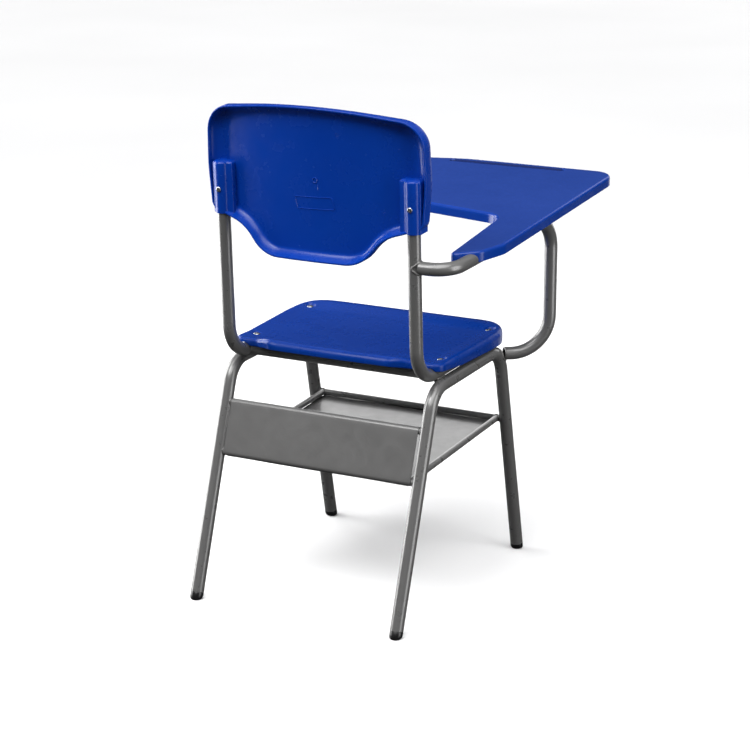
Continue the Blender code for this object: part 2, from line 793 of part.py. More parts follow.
def main():
    clear_scene()
    cutters = {}
    build_frame(cutters)
    build_foot_caps()
    build_rail_plugs()
    build_seat(cutters)
    build_back(cutters)
    build_tablet()
    build_rack(cutters)
    stand_on_origin()


main()
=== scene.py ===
import json
import math
import random

import bmesh
import bpy
import numpy as np
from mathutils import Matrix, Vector, noise

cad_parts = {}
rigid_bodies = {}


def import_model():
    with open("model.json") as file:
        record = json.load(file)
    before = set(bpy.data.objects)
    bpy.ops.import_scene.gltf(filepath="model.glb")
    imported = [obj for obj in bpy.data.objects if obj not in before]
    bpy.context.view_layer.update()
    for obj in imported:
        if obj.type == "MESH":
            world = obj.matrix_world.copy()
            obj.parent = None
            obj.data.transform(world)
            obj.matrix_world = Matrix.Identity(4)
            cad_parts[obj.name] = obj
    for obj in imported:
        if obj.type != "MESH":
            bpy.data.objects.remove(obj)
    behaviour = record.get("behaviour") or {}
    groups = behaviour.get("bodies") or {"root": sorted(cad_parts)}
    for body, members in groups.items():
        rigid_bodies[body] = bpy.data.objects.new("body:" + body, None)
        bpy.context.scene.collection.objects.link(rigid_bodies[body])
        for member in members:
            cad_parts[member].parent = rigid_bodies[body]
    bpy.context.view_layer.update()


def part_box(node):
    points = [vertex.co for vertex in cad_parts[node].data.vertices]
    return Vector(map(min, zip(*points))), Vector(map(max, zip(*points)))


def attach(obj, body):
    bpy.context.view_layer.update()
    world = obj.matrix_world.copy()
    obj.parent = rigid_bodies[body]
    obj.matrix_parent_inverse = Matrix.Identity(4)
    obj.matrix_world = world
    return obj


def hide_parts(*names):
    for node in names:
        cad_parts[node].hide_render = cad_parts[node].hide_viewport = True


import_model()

# ---------------------------------------------------------------------------------------------
# Measures, in metres.  Shapes are written in the chair's own frame: X = 0 is its mid-plane, Y = 0
# the rear top corner of the leg frames, Z = 0 the floor.  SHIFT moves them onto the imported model.
# ---------------------------------------------------------------------------------------------


def middle_of(node):
    low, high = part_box(node)
    return (low + high) / 2.0


REAR_CROSS_Y = -0.031
FRONT_CROSS_Y = -0.215
SHIFT = Vector(
    (
        (middle_of("foot_cap_rear_left").x + middle_of("foot_cap_rear_right").x) / 2.0,
        middle_of("cross_tube_rear").y - REAR_CROSS_Y,
        0.0,
    )
)

SIDES = ((1, "left"), (-1, "right"))

TUBE_R = 0.0111
TUBE_WALL = 0.0015
TUBE_SIDES = 48
BEND_STEPS = 22
BORE_R = TUBE_R - TUBE_WALL - 0.0003
LEG_X = 0.1905
LEG_POINTS = ((0.1331, 0.0), (0.0, 0.3875), (-0.2578, 0.3943), (-0.3476, 0.0))
LEG_BEND_R = 0.050
TUBE_END_Z = 0.012
BACK_TUBE_X = 0.176
BACK_TUBE_TOP_Z = 0.730
UPRIGHT_LEAN = 0.0525
RAIL_FRONT_Y = -0.270
RAIL_SLOPE = 0.0262
TABLET_TUBE_REAR_Z, TABLET_TUBE_LOW_Z, TABLET_TUBE_END_Z = 0.6005, 0.383, 0.387
TABLET_TUBE_END_Y = LEG_POINTS[2][0] + 0.004
TABLET_TUBE_DROP = 0.0154
POST_X, POST_Y = -0.260, -0.312

SKIN = 0.004
RIVET_Y = (-0.057, -0.246)
BACK_CURVE_R = 0.640
BACK_SCREW_Z = 0.698
BOSS_LOW, BOSS_HIGH = 0.6565, 0.743
SLEEVE_R = 0.0133

TABLET_SLOPE = math.tan(math.radians(4.0))
TABLET_DEPTH = 0.018
TABLET_SKIN = 0.0035
BRACKET_AT = (0.30, 0.78)
BRACKET_HALF, BRACKET_NEAR, BRACKET_REACH, BRACKET_THICK = 0.022, 0.0085, 0.0285, 0.002
BRACKET_SCREW_REACH = BRACKET_REACH - 0.010

ROD_R = 0.0055
SHEET_T = 0.0015
RACK_TOP_Z, RACK_BOTTOM_Z, RACK_FRONT_Z = 0.327, 0.236, 0.259
RACK_HALF_REAR, RACK_HALF_SHELF = 0.1775, 0.1675
SHELF_LAP = 0.004


def rail_z(y):
    return 0.405 - RAIL_SLOPE * y


def upright_y(z):
    return 0.0355 + UPRIGHT_LEAN * (z - 0.500)


def tablet_z(y):
    return 0.618 - TABLET_SLOPE * y


# ---- Material nodes ----


class Nodes:
    """Short hand for one material's node tree, in object coordinates."""

    def __init__(self, name):
        self.material = bpy.data.materials.new(name)
        self.material.use_nodes = True
        self.tree = self.material.node_tree
        self.shader = self.tree.nodes["Principled BSDF"]
        self.place = self.add("ShaderNodeTexCoord").outputs["Object"]

    def add(self, kind, **settings):
        node = self.tree.nodes.new(kind)
        for key, value in settings.items():
            setattr(node, key, value)
        return node

    def link(self, source, target):
        self.tree.links.new(source, target)

    def set(self, **values):
        for key, value in values.items():
            self.shader.inputs[key.replace("_", " ")].default_value = value

    def noise(self, scale, detail=3.0, rough=0.55, distortion=0.0):
        node = self.add("ShaderNodeTexNoise")
        node.inputs["Scale"].default_value = scale
        node.inputs["Detail"].default_value = detail
        node.inputs["Roughness"].default_value = rough
        node.inputs["Distortion"].default_value = distortion
        self.link(self.place, node.inputs["Vector"])
        return node.outputs["Fac"]

    def grain(self, scale):
        node = self.add("ShaderNodeTexVoronoi")
        node.feature = "SMOOTH_F1"
        node.inputs["Scale"].default_value = scale
        node.inputs["Smoothness"].default_value = 0.6
        self.link(self.place, node.inputs["Vector"])
        return node.outputs["Distance"]

    def ramp(self, source, stops):
        node = self.add("ShaderNodeValToRGB")
        while len(node.color_ramp.elements) < len(stops):
            node.color_ramp.elements.new(0.5)
        for element, (spot, colour) in zip(node.color_ramp.elements, stops):
            element.position = spot
            element.color = (*colour, 1.0) if len(colour) == 3 else (colour[0],) * 3 + (1.0,)
        self.link(source, node.inputs["Fac"])
        return node.outputs["Color"]

    def span(self, source, low, high, from_low=0.0, from_high=1.0):
        node = self.add("ShaderNodeMapRange")
        node.inputs["From Min"].default_value = from_low
        node.inputs["From Max"].default_value = from_high
        node.inputs["To Min"].default_value = low
        node.inputs["To Max"].default_value = high
        self.link(source, node.inputs["Value"])
        return node.outputs["Result"]

    def maths(self, operation, first, second):
        node = self.add("ShaderNodeMath", operation=operation)
        for socket, value in zip(node.inputs, (first, second)):
            if isinstance(value, float):
                socket.default_value = value
            else:
                self.link(value, socket)
        return node.outputs["Value"]

    def mix(self, share, first, second):
        node = self.add("ShaderNodeMix", data_type="RGBA")
        self.link(share, node.inputs["Factor"])
        for socket, value in ((node.inputs[6], first), (node.inputs[7], second)):
            if isinstance(value, tuple):
                socket.default_value = (*value, 1.0)
            else:
                self.link(value, socket)
        return node.outputs[2]

    def bump(self, layers):
        """Stacked bump layers: (height, strength, distance)."""
        normal = None
        for height, strength, distance in layers:
            node = self.add("ShaderNodeBump")
            node.inputs["Strength"].default_value = strength
            node.inputs["Distance"].default_value = distance
            self.link(height, node.inputs["Height"])
            if normal is not None:
                self.link(normal, node.inputs["Normal"])
            normal = node.outputs["Normal"]
        self.link(normal, self.shader.inputs["Normal"])

    def edges(self, low, high):
        """A mask of sharp convex edges, from the mesh's own curvature."""
        geometry = self.add("ShaderNodeNewGeometry")
        return self.span(geometry.outputs["Pointiness"], 0.0, 1.0, low, high)

    def near_floor(self, most, low, high):
        """A mask that falls from its most at the low height to nothing at the high one."""
        parts = self.add("ShaderNodeSeparateXYZ")
        self.link(self.place, parts.inputs["Vector"])
        return self.span(parts.outputs["Z"], most, 0.0, low, high)


def scratches(nodes, scale, amount):
    """A mask of thin, mostly straight scuffs."""
    mapping = nodes.add("ShaderNodeMapping")
    mapping.inputs["Scale"].default_value = (0.5, 0.04, 0.04)
    mapping.inputs["Rotation"].default_value = (0.3, 0.5, 0.6)
    nodes.link(nodes.place, mapping.inputs["Vector"])
    lines = nodes.add("ShaderNodeTexNoise")
    lines.inputs["Scale"].default_value = scale
    lines.inputs["Detail"].default_value = 2.0
    nodes.link(mapping.outputs["Vector"], lines.inputs["Vector"])
    thin = nodes.span(lines.outputs["Fac"], 0.0, 1.0, 0.64, 0.72)
    patch = nodes.span(nodes.noise(6.0, 2.0), 0.0, amount, 0.45, 0.75)
    return nodes.maths("MULTIPLY", thin, patch)


def warm_grey(value):
    return value, value - 0.001, value - 0.002


def painted_steel(name, dark, light, rough):
    """Satin powder coat: orange peel, fine sparkle, slight mottling, scuffs near the floor."""
    n = Nodes(name)
    cloud = n.noise(7.0, 4.0)
    base = n.ramp(cloud, ((0.30, dark), (0.72, light)))
    speck = n.span(n.noise(2600.0, 1.0), 0.0, 0.18, 0.56, 0.74)
    pale = tuple(min(v * 1.7 + 0.03, 1.0) for v in light)
    base = n.mix(speck, base, pale)
    low_down = n.near_floor(1.0, 0.012, 0.075)
    scuffed = n.span(n.noise(170.0, 5.0, 0.7), 0.0, 0.65, 0.57, 0.68)
    wear = n.maths("MULTIPLY", low_down, scuffed)
    worn = n.mix(wear, base, (0.09, 0.088, 0.085))
    edge = n.maths("MULTIPLY", n.edges(0.60, 0.70), n.span(n.noise(120.0, 3.0), 0.1, 0.7, 0.4, 0.7))
    n.link(n.mix(edge, worn, pale), n.shader.inputs["Base Color"])
    n.link(n.span(n.noise(55.0, 3.0), *rough, 0.3, 0.7), n.shader.inputs["Roughness"])
    n.set(Metallic=0.35, Coat_Weight=0.5, Coat_Roughness=0.14)
    n.bump(((n.noise(420.0, 2.0), 0.10, 0.0006), (n.noise(2200.0, 1.0), 0.05, 0.0001)))
    return n.material


def moulded_plastic(name, deep, bright, rough, gloss, grain_scale=620.0, grain=0.05, wear=0.05):
    """Moulded polypropylene: leather-like grain, flow mottling, hairline scuffs, paler edges."""
    n = Nodes(name)
    flow = n.noise(4.5, 3.0, 0.5, 0.8)
    base = n.ramp(flow, ((0.30, deep), (0.70, bright)))
    fine = n.noise(70.0, 4.0)
    base = n.mix(n.span(fine, 0.0, 0.08, 0.25, 0.85), base, tuple(v * 0.80 for v in deep))
    scuff = scratches(n, 900.0, wear)
    pale = tuple(min(v * 1.5 + 0.035, 1.0) for v in bright)
    base = n.mix(scuff, base, pale)
    edge = n.maths("MULTIPLY", n.edges(0.56, 0.64), n.span(n.noise(60.0, 3.0), 0.15, 0.45, 0.3, 0.7))
    n.link(n.mix(edge, base, pale), n.shader.inputs["Base Color"])
    gloss_noise = n.span(n.noise(26.0, 4.0), rough - 0.05, rough + 0.06, 0.3, 0.7)
    n.link(gloss_noise, n.shader.inputs["Roughness"])
    n.set(IOR=1.49, Specular_IOR_Level=gloss)
    n.bump(((n.noise(14.0, 1.0), 0.06, 0.003), (n.grain(grain_scale), grain, 0.00012)))
    return n.material


def black_plastic():
    """Moulded black plastic with dust where it stands on the floor."""
    n = Nodes("black_plastic")
    base = n.ramp(n.noise(38.0, 4.0), ((0.3, (0.0045, 0.0045, 0.0048)), (0.75, (0.012, 0.012, 0.0125))))
    low_down = n.near_floor(0.8, 0.0006, 0.0040)
    dust = n.maths("MULTIPLY", low_down, n.span(n.noise(260.0, 4.0), 0.2, 1.0, 0.42, 0.62))
    n.link(n.mix(dust, base, (0.045, 0.044, 0.042)), n.shader.inputs["Base Color"])
    n.link(n.span(n.noise(90.0, 3.0), 0.20, 0.36, 0.3, 0.7), n.shader.inputs["Roughness"])
    n.set(IOR=1.5)
    n.bump(((n.noise(700.0, 2.0), 0.12, 0.0002),))
    return n.material


def zinc_plate():
    """Zinc-plated steel with a fine uneven sheen."""
    n = Nodes("zinc_plate")
    base = n.ramp(n.noise(420.0, 3.0), ((0.3, (0.40, 0.41, 0.42)), (0.7, (0.60, 0.61, 0.62))))
    n.link(base, n.shader.inputs["Base Color"])
    n.link(n.span(n.noise(300.0, 3.0), 0.20, 0.36, 0.3, 0.7), n.shader.inputs["Roughness"])
    n.set(Metallic=1.0)
    n.bump(((n.noise(1500.0, 2.0), 0.10, 0.0001),))
    return n.material


def weld_metal():
    """Painted weld bead: the same grey, rougher, with spatter."""
    n = Nodes("weld_bead_paint")
    base = n.ramp(n.noise(220.0, 4.0), ((0.32, (0.125, 0.123, 0.120)), (0.70, (0.235, 0.232, 0.228))))
    n.link(base, n.shader.inputs["Base Color"])
    n.link(n.span(n.noise(400.0, 3.0), 0.30, 0.52, 0.3, 0.7), n.shader.inputs["Roughness"])
    n.set(Metallic=0.5, Coat_Weight=0.3, Coat_Roughness=0.2)
    n.bump(((n.noise(900.0, 3.0), 0.35, 0.0004),))
    return n.material


FRAME_PAINT = painted_steel("frame_paint", warm_grey(0.160), warm_grey(0.174), (0.26, 0.36))
RACK_PAINT = painted_steel("rack_paint", warm_grey(0.150), warm_grey(0.164), (0.34, 0.44))
# The seat and back are one blue plastic; the seat's blue is set darker than the back's to offset the
# stronger light from above on the seat: painted shade.
SEAT_BLUE_PAINTED_SHADE = moulded_plastic("seat_blue_painted_shade", (0.0006, 0.030, 0.245), (0.0010, 0.035, 0.270), 0.28, 0.24)
BACK_BLUE = moulded_plastic("back_blue", (0.0005, 0.036, 0.320), (0.0010, 0.041, 0.345), 0.25, 0.34)
# The tablet's top and its edges are one blue moulding in two tints: the top's is greyer, a painted sheen,
# and darker, painted shade that offsets the strong light from above.
TABLET_BLUE_PAINTED_SHEEN_AND_SHADE = moulded_plastic(
    "tablet_blue_painted_sheen_and_shade", (0.0085, 0.036, 0.215), (0.0110, 0.041, 0.235), 0.42, 0.16, 520.0, grain=0.12, wear=0.10
)
TABLET_EDGE = moulded_plastic(
    "tablet_edge_blue", (0.0008, 0.034, 0.270), (0.0014, 0.039, 0.295), 0.20, 0.36, 520.0
)
# Darker, duller blue for the faces down in the pencil groove: painted shade in the groove, not a colour of
# the plastic.
TABLET_GROOVE_PAINTED_SHADE = moulded_plastic(
    "tablet_groove_painted_shade", (0.0006, 0.010, 0.085), (0.0010, 0.013, 0.100), 0.35, 0.10, 520.0
)
BLACK = black_plastic()
ZINC = zinc_plate()
WELD = weld_metal()


# ---- Mesh helpers ----


def stand(name, data):
    """A new object for the data, in the scene."""
    made = bpy.data.objects.new(name, data)
    bpy.context.scene.collection.objects.link(made)
    return made


def piece(name, verts, faces, material, slot, nodes=(), angle=35.0):
    """A closed mesh piece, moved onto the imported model, smooth but for edges over the angle."""
    mesh = bpy.data.meshes.new(name)
    mesh.from_pydata([tuple(Vector(v) + SHIFT) for v in verts], [], faces)
    work = bmesh.new()
    work.from_mesh(mesh)
    bmesh.ops.remove_doubles(work, verts=work.verts, dist=1e-7)
    bmesh.ops.recalc_face_normals(work, faces=work.faces)
    work.to_mesh(mesh)
    work.free()
    mesh.shade_smooth()
    mesh.set_sharp_from_angle(angle=math.radians(angle))
    mesh.materials.append(material)
    made = stand(name, mesh)
    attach(made, "root")
    if nodes:
        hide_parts(*nodes)
    return made


def gather(parts):
    """Several (verts, faces) as one."""
    verts, faces = [], []
    for some_verts, some_faces in parts:
        base = len(verts)
        verts += list(some_verts)
        faces += [tuple(base + k for k in face) for face in some_faces]
    return verts, faces


def swept(centre, first, last, steps, radius=1.0):
    """Points on the arc that turns one vector from the centre into another."""
    sweep = first.angle(last)
    points = []
    for k in range(steps + 1):
        turned = first * math.sin((1 - k / steps) * sweep) + last * math.sin(k / steps * sweep)
        points.append(centre + turned / math.sin(sweep) * radius)
    return points


def corner_arc(before, corner, after, radius, steps):
    """The arc that rounds a corner between its two neighbours."""
    a = (before - corner).normalized()
    b = (after - corner).normalized()
    half = a.angle(b) / 2.0
    reach = radius / math.tan(half)
    centre = corner + (a + b).normalized() * (radius / math.sin(half))
    return swept(centre, corner + a * reach - centre, corner + b * reach - centre, steps)


def bent_path(points, radii, steps=BEND_STEPS):
    points = [Vector(p) for p in points]
    path = [points[0]]
    for i, radius in enumerate(radii, start=1):
        path += corner_arc(points[i - 1], points[i], points[i + 1], radius, steps)
    return path + [points[-1]]


def path_frames(path, closed=False):
    """A tangent and two cross directions at each point, carried along without twist."""
    count = len(path)
    tangents = []
    for i in range(count):
        ahead = path[(i + 1) % count] if closed or i + 1 < count else path[i]
        behind = path[i - 1] if closed or i else path[i]
        tangents.append((ahead - behind).normalized())
    side = tangents[0].orthogonal().normalized()
    frames = []
    for tangent in tangents:
        side = (side - tangent * side.dot(tangent)).normalized()
        frames.append((tangent, side, tangent.cross(side)))
    return frames


def circle(centre, side, up, radius, sides):
    turn = 2.0 * math.pi / sides
    return [centre + (side * math.cos(k * turn) + up * math.sin(k * turn)) * radius for k in range(sides)]


def rings_along(path, radius, sides, closed=False):
    return [circle(c, s, u, radius, sides) for c, (_, s, u) in zip(path, path_frames(path, closed))]


def skin(rings, closed=False):
    """A skin over rings of points: a closed loop of rings, or a row with both ends capped."""
    size = len(rings[0])
    verts = [v for one in rings for v in one]
    faces = []
    for r in range(len(rings) if closed else len(rings) - 1):
        a = r * size
        b = ((r + 1) % len(rings)) * size
        for k in range(size):
            n = (k + 1) % size
            faces.append((a + k, a + n, b + n, b + k))
    if not closed:
        faces.append(tuple(range(size)))
        faces.append(tuple((len(rings) - 1) * size + k for k in range(size)))
    return verts, faces


def pipe(path):
    """A hollow tube with open ends."""
    outer = rings_along(path, TUBE_R, TUBE_SIDES)
    inner = rings_along(path, TUBE_R - TUBE_WALL, TUBE_SIDES)
    return skin(outer + inner[::-1], closed=True)


def coped_pipe(start, stop, start_on, stop_on, radius=TUBE_R, wall=TUBE_WALL, sides=TUBE_SIDES):
    """A straight tube cut to lie on the tubes that it meets, each an axis point, direction and radius."""
    bite = 0.0004
    start, stop = Vector(start), Vector(stop)
    axis = (stop - start).normalized()
    side = axis.orthogonal().normalized()
    up = axis.cross(side)
    middle = (start + stop) / 2.0

    def meet(p, towards, other):
        point, direction, reach = Vector(other[0]), Vector(other[1]).normalized(), other[2] - bite
        w = p - point
        w = w - direction * w.dot(direction)
        d = towards - direction * towards.dot(direction)
        a, b, c = d.dot(d), 2.0 * w.dot(d), w.dot(w) - reach * reach
        root = b * b - 4.0 * a * c
        t = (-b - math.sqrt(root)) / (2.0 * a) if root > 0.0 else -b / (2.0 * a)
        return p + towards * t

    loops = []
    for r in (radius, radius - wall):
        flat = circle(middle, side, up, r, sides)
        near = [meet(p, -axis, start_on) for p in flat]
        far = [meet(p, axis, stop_on) for p in flat]
        loops.append((near, far))
    (near_out, far_out), (near_in, far_in) = loops
    return skin([near_out, far_out, far_in, near_in], closed=True), near_out, far_out


def rib(spine, axis, depth, half):
    """A moulded rib along the x or y axis, hung from the points of its spine and thicker at its root."""
    side = Vector((1.0, 0.0, 0.0)) if axis == "y" else Vector((0.0, 1.0, 0.0))
    section = ((-half, -depth), (half, -depth), (half + 0.0003, 0.0), (-half - 0.0003, 0.0))
    return skin([[Vector(p) + side * w + Vector((0.0, 0.0, h)) for w, h in section] for p in spine])


def lathe(origin, axis, profile, sides=32):
    """A solid of revolution from (radius, distance along the axis) pairs."""
    axis = Vector(axis).normalized()
    side = axis.orthogonal().normalized()
    up = axis.cross(side)
    return skin([circle(Vector(origin) + axis * z, side, up, r, sides) for r, z in profile])


def marks_along(line):
    """Length from the start of a line to each of its points."""
    marks = [0.0]
    for a, b in zip(line, line[1:]):
        marks.append(marks[-1] + (b - a).length)
    return marks


def points_at(line, marks, spots):
    axes = [np.interp(spots, marks, [p[i] for p in line]) for i in range(len(line[0]))]
    return [Vector(v) for v in zip(*axes)]


def respaced(points, pitch):
    """A closed line with points at an even pitch."""
    ring = list(points) + [points[0]]
    marks = marks_along(ring)
    count = max(12, int(marks[-1] / pitch))
    return points_at(ring, marks, np.linspace(0.0, marks[-1], count, endpoint=False))


def bead_along(path, width, closed, seed):
    """A weld bead: overlapping ripples of slightly uneven width along a line."""
    pitch, sides = 0.0016, 10
    ring = list(path) + ([path[0]] if closed else [])
    marks = marks_along(ring)
    count = max(10, int(marks[-1] / (pitch / 4.0)))
    spots = np.linspace(0.0, marks[-1], count, endpoint=not closed)
    line = points_at(ring, marks, spots)
    phase = random.Random(seed).uniform(0.0, 6.0)
    rings = []
    for along, c, (_, s, u) in zip(spots, line, path_frames(line, closed)):
        ripple = 0.86 + 0.14 * abs(math.sin(math.pi * along / pitch + phase))
        uneven = 1.0 + 0.16 * noise.noise(Vector((along * 140.0 + seed * 7.0, seed, 0.0)))
        fade = 1.0
        if not closed:
            ends = min(along, marks[-1] - along) / (width * 0.9)
            fade = math.sqrt(max(0.02, 1.0 - (1.0 - min(ends, 1.0)) ** 2))
        rings.append(circle(c, s, u, width * ripple * uneven * fade, sides))
    return skin(rings, closed=closed)


# ---- Tube frame ----


def leg_path(side):
    (ry, _), rear_top, front_top, (fy, _) = LEG_POINTS
    x = side * LEG_X
    rear_lean = (ry - rear_top[0]) / rear_top[1]
    front_lean = (fy - front_top[0]) / front_top[1]
    points = (
        (x, ry - rear_lean * TUBE_END_Z, TUBE_END_Z),
        (x, *rear_top),
        (x, *front_top),
        (x, fy - front_lean * TUBE_END_Z, TUBE_END_Z),
    )
    return bent_path(points, (LEG_BEND_R, LEG_BEND_R))


def back_tube_path(side):
    x = side * BACK_TUBE_X
    corner_y = upright_y(rail_z(0.0)) / (1.0 + UPRIGHT_LEAN * RAIL_SLOPE)
    points = (
        (x, upright_y(BACK_TUBE_TOP_Z), BACK_TUBE_TOP_Z),
        (x, corner_y, rail_z(corner_y)),
        (x, RAIL_FRONT_Y, rail_z(RAIL_FRONT_Y)),
    )
    return bent_path(points, (0.060,), 26)


def tablet_tube_path():
    rear_y = upright_y(TABLET_TUBE_REAR_Z)
    points = (
        (-BACK_TUBE_X, rear_y, TABLET_TUBE_REAR_Z),
        (-0.238, rear_y, TABLET_TUBE_REAR_Z),
        (POST_X, POST_Y, tablet_z(POST_Y) - TABLET_TUBE_DROP),
        (POST_X, POST_Y, TABLET_TUBE_LOW_Z),
        (-LEG_X, TABLET_TUBE_END_Y, TABLET_TUBE_END_Z),
    )
    return bent_path(points, (0.040, 0.051, 0.066))


welds = []


def stitch(side, y0, y1, turn, seed):
    """A short weld in the groove between the leg frame's top rail and the seat rail."""
    line = []
    for k in range(9):
        y = y0 + (y1 - y0) * k / 8
        low = Vector((side * LEG_X, y, LEG_POINTS[1][1] - 0.0264 * y))
        high = Vector((side * BACK_TUBE_X, y, rail_z(y)))
        out = Vector((0, 1, 0)).cross((high - low).normalized()).normalized() * turn
        line.append((low + high) / 2.0 + out * 0.0028)
    return bead_along(line, 0.0024, False, seed)


def make_frame():
    """Leg frames, back tubes, cross tubes and the tablet tube, with their weld beads."""
    for side, word in SIDES:
        leg, tube = "leg_frame_" + word, "back_tube_" + word
        piece("leg_frame_tube_" + word, *pipe(leg_path(side)), FRAME_PAINT, "frame_paint", [leg])
        piece(tube + "_fine", *pipe(back_tube_path(side)), FRAME_PAINT, "frame_paint", [tube])
        for y0, y1 in ((-0.052, -0.024), (-0.236, -0.208)):
            for turn in (1.0, -1.0):
                welds.append(stitch(side, y0, y1, turn, len(welds) + 1))

    for word, y, drop in (("rear", REAR_CROSS_Y, 0.0), ("front", FRONT_CROSS_Y, 0.005)):
        ends = [Vector((side * BACK_TUBE_X, y, rail_z(y) - drop)) for side, _ in SIDES]
        mates = [((side * BACK_TUBE_X, y, rail_z(y)), (0.0, 1.0, -RAIL_SLOPE), TUBE_R) for side, _ in SIDES]
        body, near, far = coped_pipe(*ends, *mates)
        piece("cross_tube_" + word + "_fine", *body, FRAME_PAINT, "frame_paint", ["cross_tube_" + word])
        welds.append(bead_along(near, 0.0019, True, 21))
        welds.append(bead_along(far, 0.0019, True, 22))
    make_tablet_tube()


def make_tablet_tube():
    """The tube under the tablet, with a bead where it meets the upright and one at the leg frame."""
    bite = TUBE_R - 0.0012
    path = tablet_tube_path()
    path[0] = path[0] + Vector((-bite, 0.0, 0.0))
    last = (path[-1] - path[-2]).normalized()
    path[-1] = path[-1] - last * bite
    piece("tablet_tube_fine", *pipe(path), FRAME_PAINT, "frame_paint", ["tablet_tube"])

    # Only the cut ends of these two short tubes are used, as the lines of the beads.
    start = (-BACK_TUBE_X, upright_y(TABLET_TUBE_REAR_Z), TABLET_TUBE_REAR_Z)
    far_post = ((-0.30, 0.0, 0.6), (0.0, 0.0, 1.0), TUBE_R)
    upright = (start, (0.0, UPRIGHT_LEAN, 1.0), TUBE_R)
    _, near, _ = coped_pipe(start, (-0.230, *start[1:]), upright, far_post)
    welds.append(bead_along(near, 0.0021, True, 23))
    leg = leg_path(-1)
    target = Vector((-LEG_X, TABLET_TUBE_END_Y, TABLET_TUBE_END_Z))
    nearest = min(range(1, len(leg) - 1), key=lambda k: (leg[k] - target).length)
    run = (leg[nearest + 1] - leg[nearest - 1]).normalized()
    mate = (tuple(leg[nearest]), tuple(run), TUBE_R)
    _, _, far = coped_pipe(target - last * 0.050, target, far_post, mate)
    welds.append(bead_along(far, 0.0021, True, 24))


def make_caps():
    """Plug-in foot caps: a collar flush with the tube and a dome cut flat at the floor."""
    dome = (
        (0.0030, 0.0004), (0.0052, 0.0004), (0.0058, 0.0), (0.0070, 0.0), (0.0086, 0.0005),
        (0.0098, 0.0015), (0.0107, 0.0030), (TUBE_R - 0.0001, 0.0048),
    )
    for side, word in SIDES:
        path = leg_path(side)
        for place, end, inner in (("rear", path[0], path[1]), ("front", path[-1], path[-2])):
            axis = (inner - end).normalized()
            across = Vector((1, 0, 0))
            up = axis.cross(across)
            rings = []
            for radius, height in dome:
                flat = circle(end, across, up, radius, TUBE_SIDES)
                rings.append([p + axis * ((height - p.z) / axis.z) for p in flat])
            collar = ((TUBE_R, -0.0012), (TUBE_R - 0.0004, -0.0004), (BORE_R, -0.0004), (BORE_R, 0.015))
            for radius, away in collar:
                rings.append(circle(end + axis * away, across, up, radius, TUBE_SIDES))
            name = "foot_cap_" + place + "_" + word
            piece(name + "_fine", *skin(rings), BLACK, "black_plastic", [name])


def make_plugs():
    """Plugs in the front ends of the seat rails: a shallow crown with a dimple."""
    for side, word in SIDES:
        path = back_tube_path(side)
        axis = (path[-1] - path[-2]).normalized()
        profile = (
            (BORE_R - 0.0010, -0.012), (BORE_R, -0.011), (BORE_R, 0.0003), (TUBE_R - 0.0003, 0.0003),
            (TUBE_R, 0.0007), (TUBE_R, 0.0018), (TUBE_R - 0.0006, 0.0026), (0.0090, 0.0032),
            (0.0075, 0.0033), (0.0070, 0.0028), (0.0020, 0.0028),
        )
        name = "rail_plug_" + word
        piece(name + "_fine", *lathe(path[-1], axis, profile, 40), BLACK, "black_plastic", [name])


# ---- Outlines and distance fields for the moulded shells ----


def outline(corners):
    """A closed line through corners given as (x, y, radius), each rounded by its radius."""
    loop = []
    for i, (x, y, radius) in enumerate(corners):
        before = Vector(corners[i - 1][:2])
        after = Vector(corners[(i + 1) % len(corners)][:2])
        loop += corner_arc(before, Vector((x, y)), after, radius, 12)
    return loop


def mirrored_outline(first, half, last=()):
    """An outline that is the same on both sides of x = 0, run counter-clockwise."""
    other = tuple((-x, y, radius) for x, y, radius in reversed(half))
    return outline((first + half + last + other)[::-1])


def to_array(loop):
    return np.array([tuple(p) for p in loop], float)


def inset(loop, distance):
    """The closed outline, an (n, 2) array running counter-clockwise, moved inwards."""
    ahead = np.roll(loop, -1, 0) - loop
    behind = loop - np.roll(loop, 1, 0)
    ahead /= np.linalg.norm(ahead, axis=1)[:, None]
    behind /= np.linalg.norm(behind, axis=1)[:, None]
    n1 = np.stack((-behind[:, 1], behind[:, 0]), 1)
    n2 = np.stack((-ahead[:, 1], ahead[:, 0]), 1)
    mean = n1 + n2
    mean /= np.linalg.norm(mean, axis=1)[:, None]
    reach = distance / np.maximum((mean * n1).sum(1), 0.5)
    return loop + mean * reach[:, None]


def distance_to(loop, points):
    """Distance of each point to the closed outline."""
    a, b = loop, np.roll(loop, -1, 0)
    d = b - a
    size = (d * d).sum(1)
    best = np.full(len(points), 1e9)
    for start in range(0, len(points), 4000):
        p = points[start:start + 4000, None, :] - a[None]
        t = np.clip((p * d[None]).sum(2) / size[None], 0.0, 1.0)
        gap = p - t[:, :, None] * d[None]
        best[start:start + 4000] = np.sqrt((gap * gap).sum(2)).min(1)
    return best


def smooth(low, high, value):
    """Smooth step from 0 at low to 1 at high."""
    t = np.clip((value - low) / (high - low), 0.0, 1.0)
    return t * t * (3.0 - 2.0 * t)


def stack(levels):
    """Verts and faces of a skin over rings given as (n, 3) arrays, with a fan at both ends."""
    size = len(levels[0])
    verts = np.concatenate(levels + [levels[0].mean(0)[None], levels[-1].mean(0)[None]])
    faces = []
    for r in range(len(levels) - 1):
        a, b = r * size, (r + 1) * size
        faces += [(a + k, a + (k + 1) % size, b + (k + 1) % size, b + k) for k in range(size)]
    first, last = len(verts) - 2, len(verts) - 1
    base = (len(levels) - 1) * size
    faces += [((k + 1) % size, k, first) for k in range(size)]
    faces += [(base + k, base + (k + 1) % size, last) for k in range(size)]
    return [Vector(v) for v in verts], faces


# ---- Seat ----

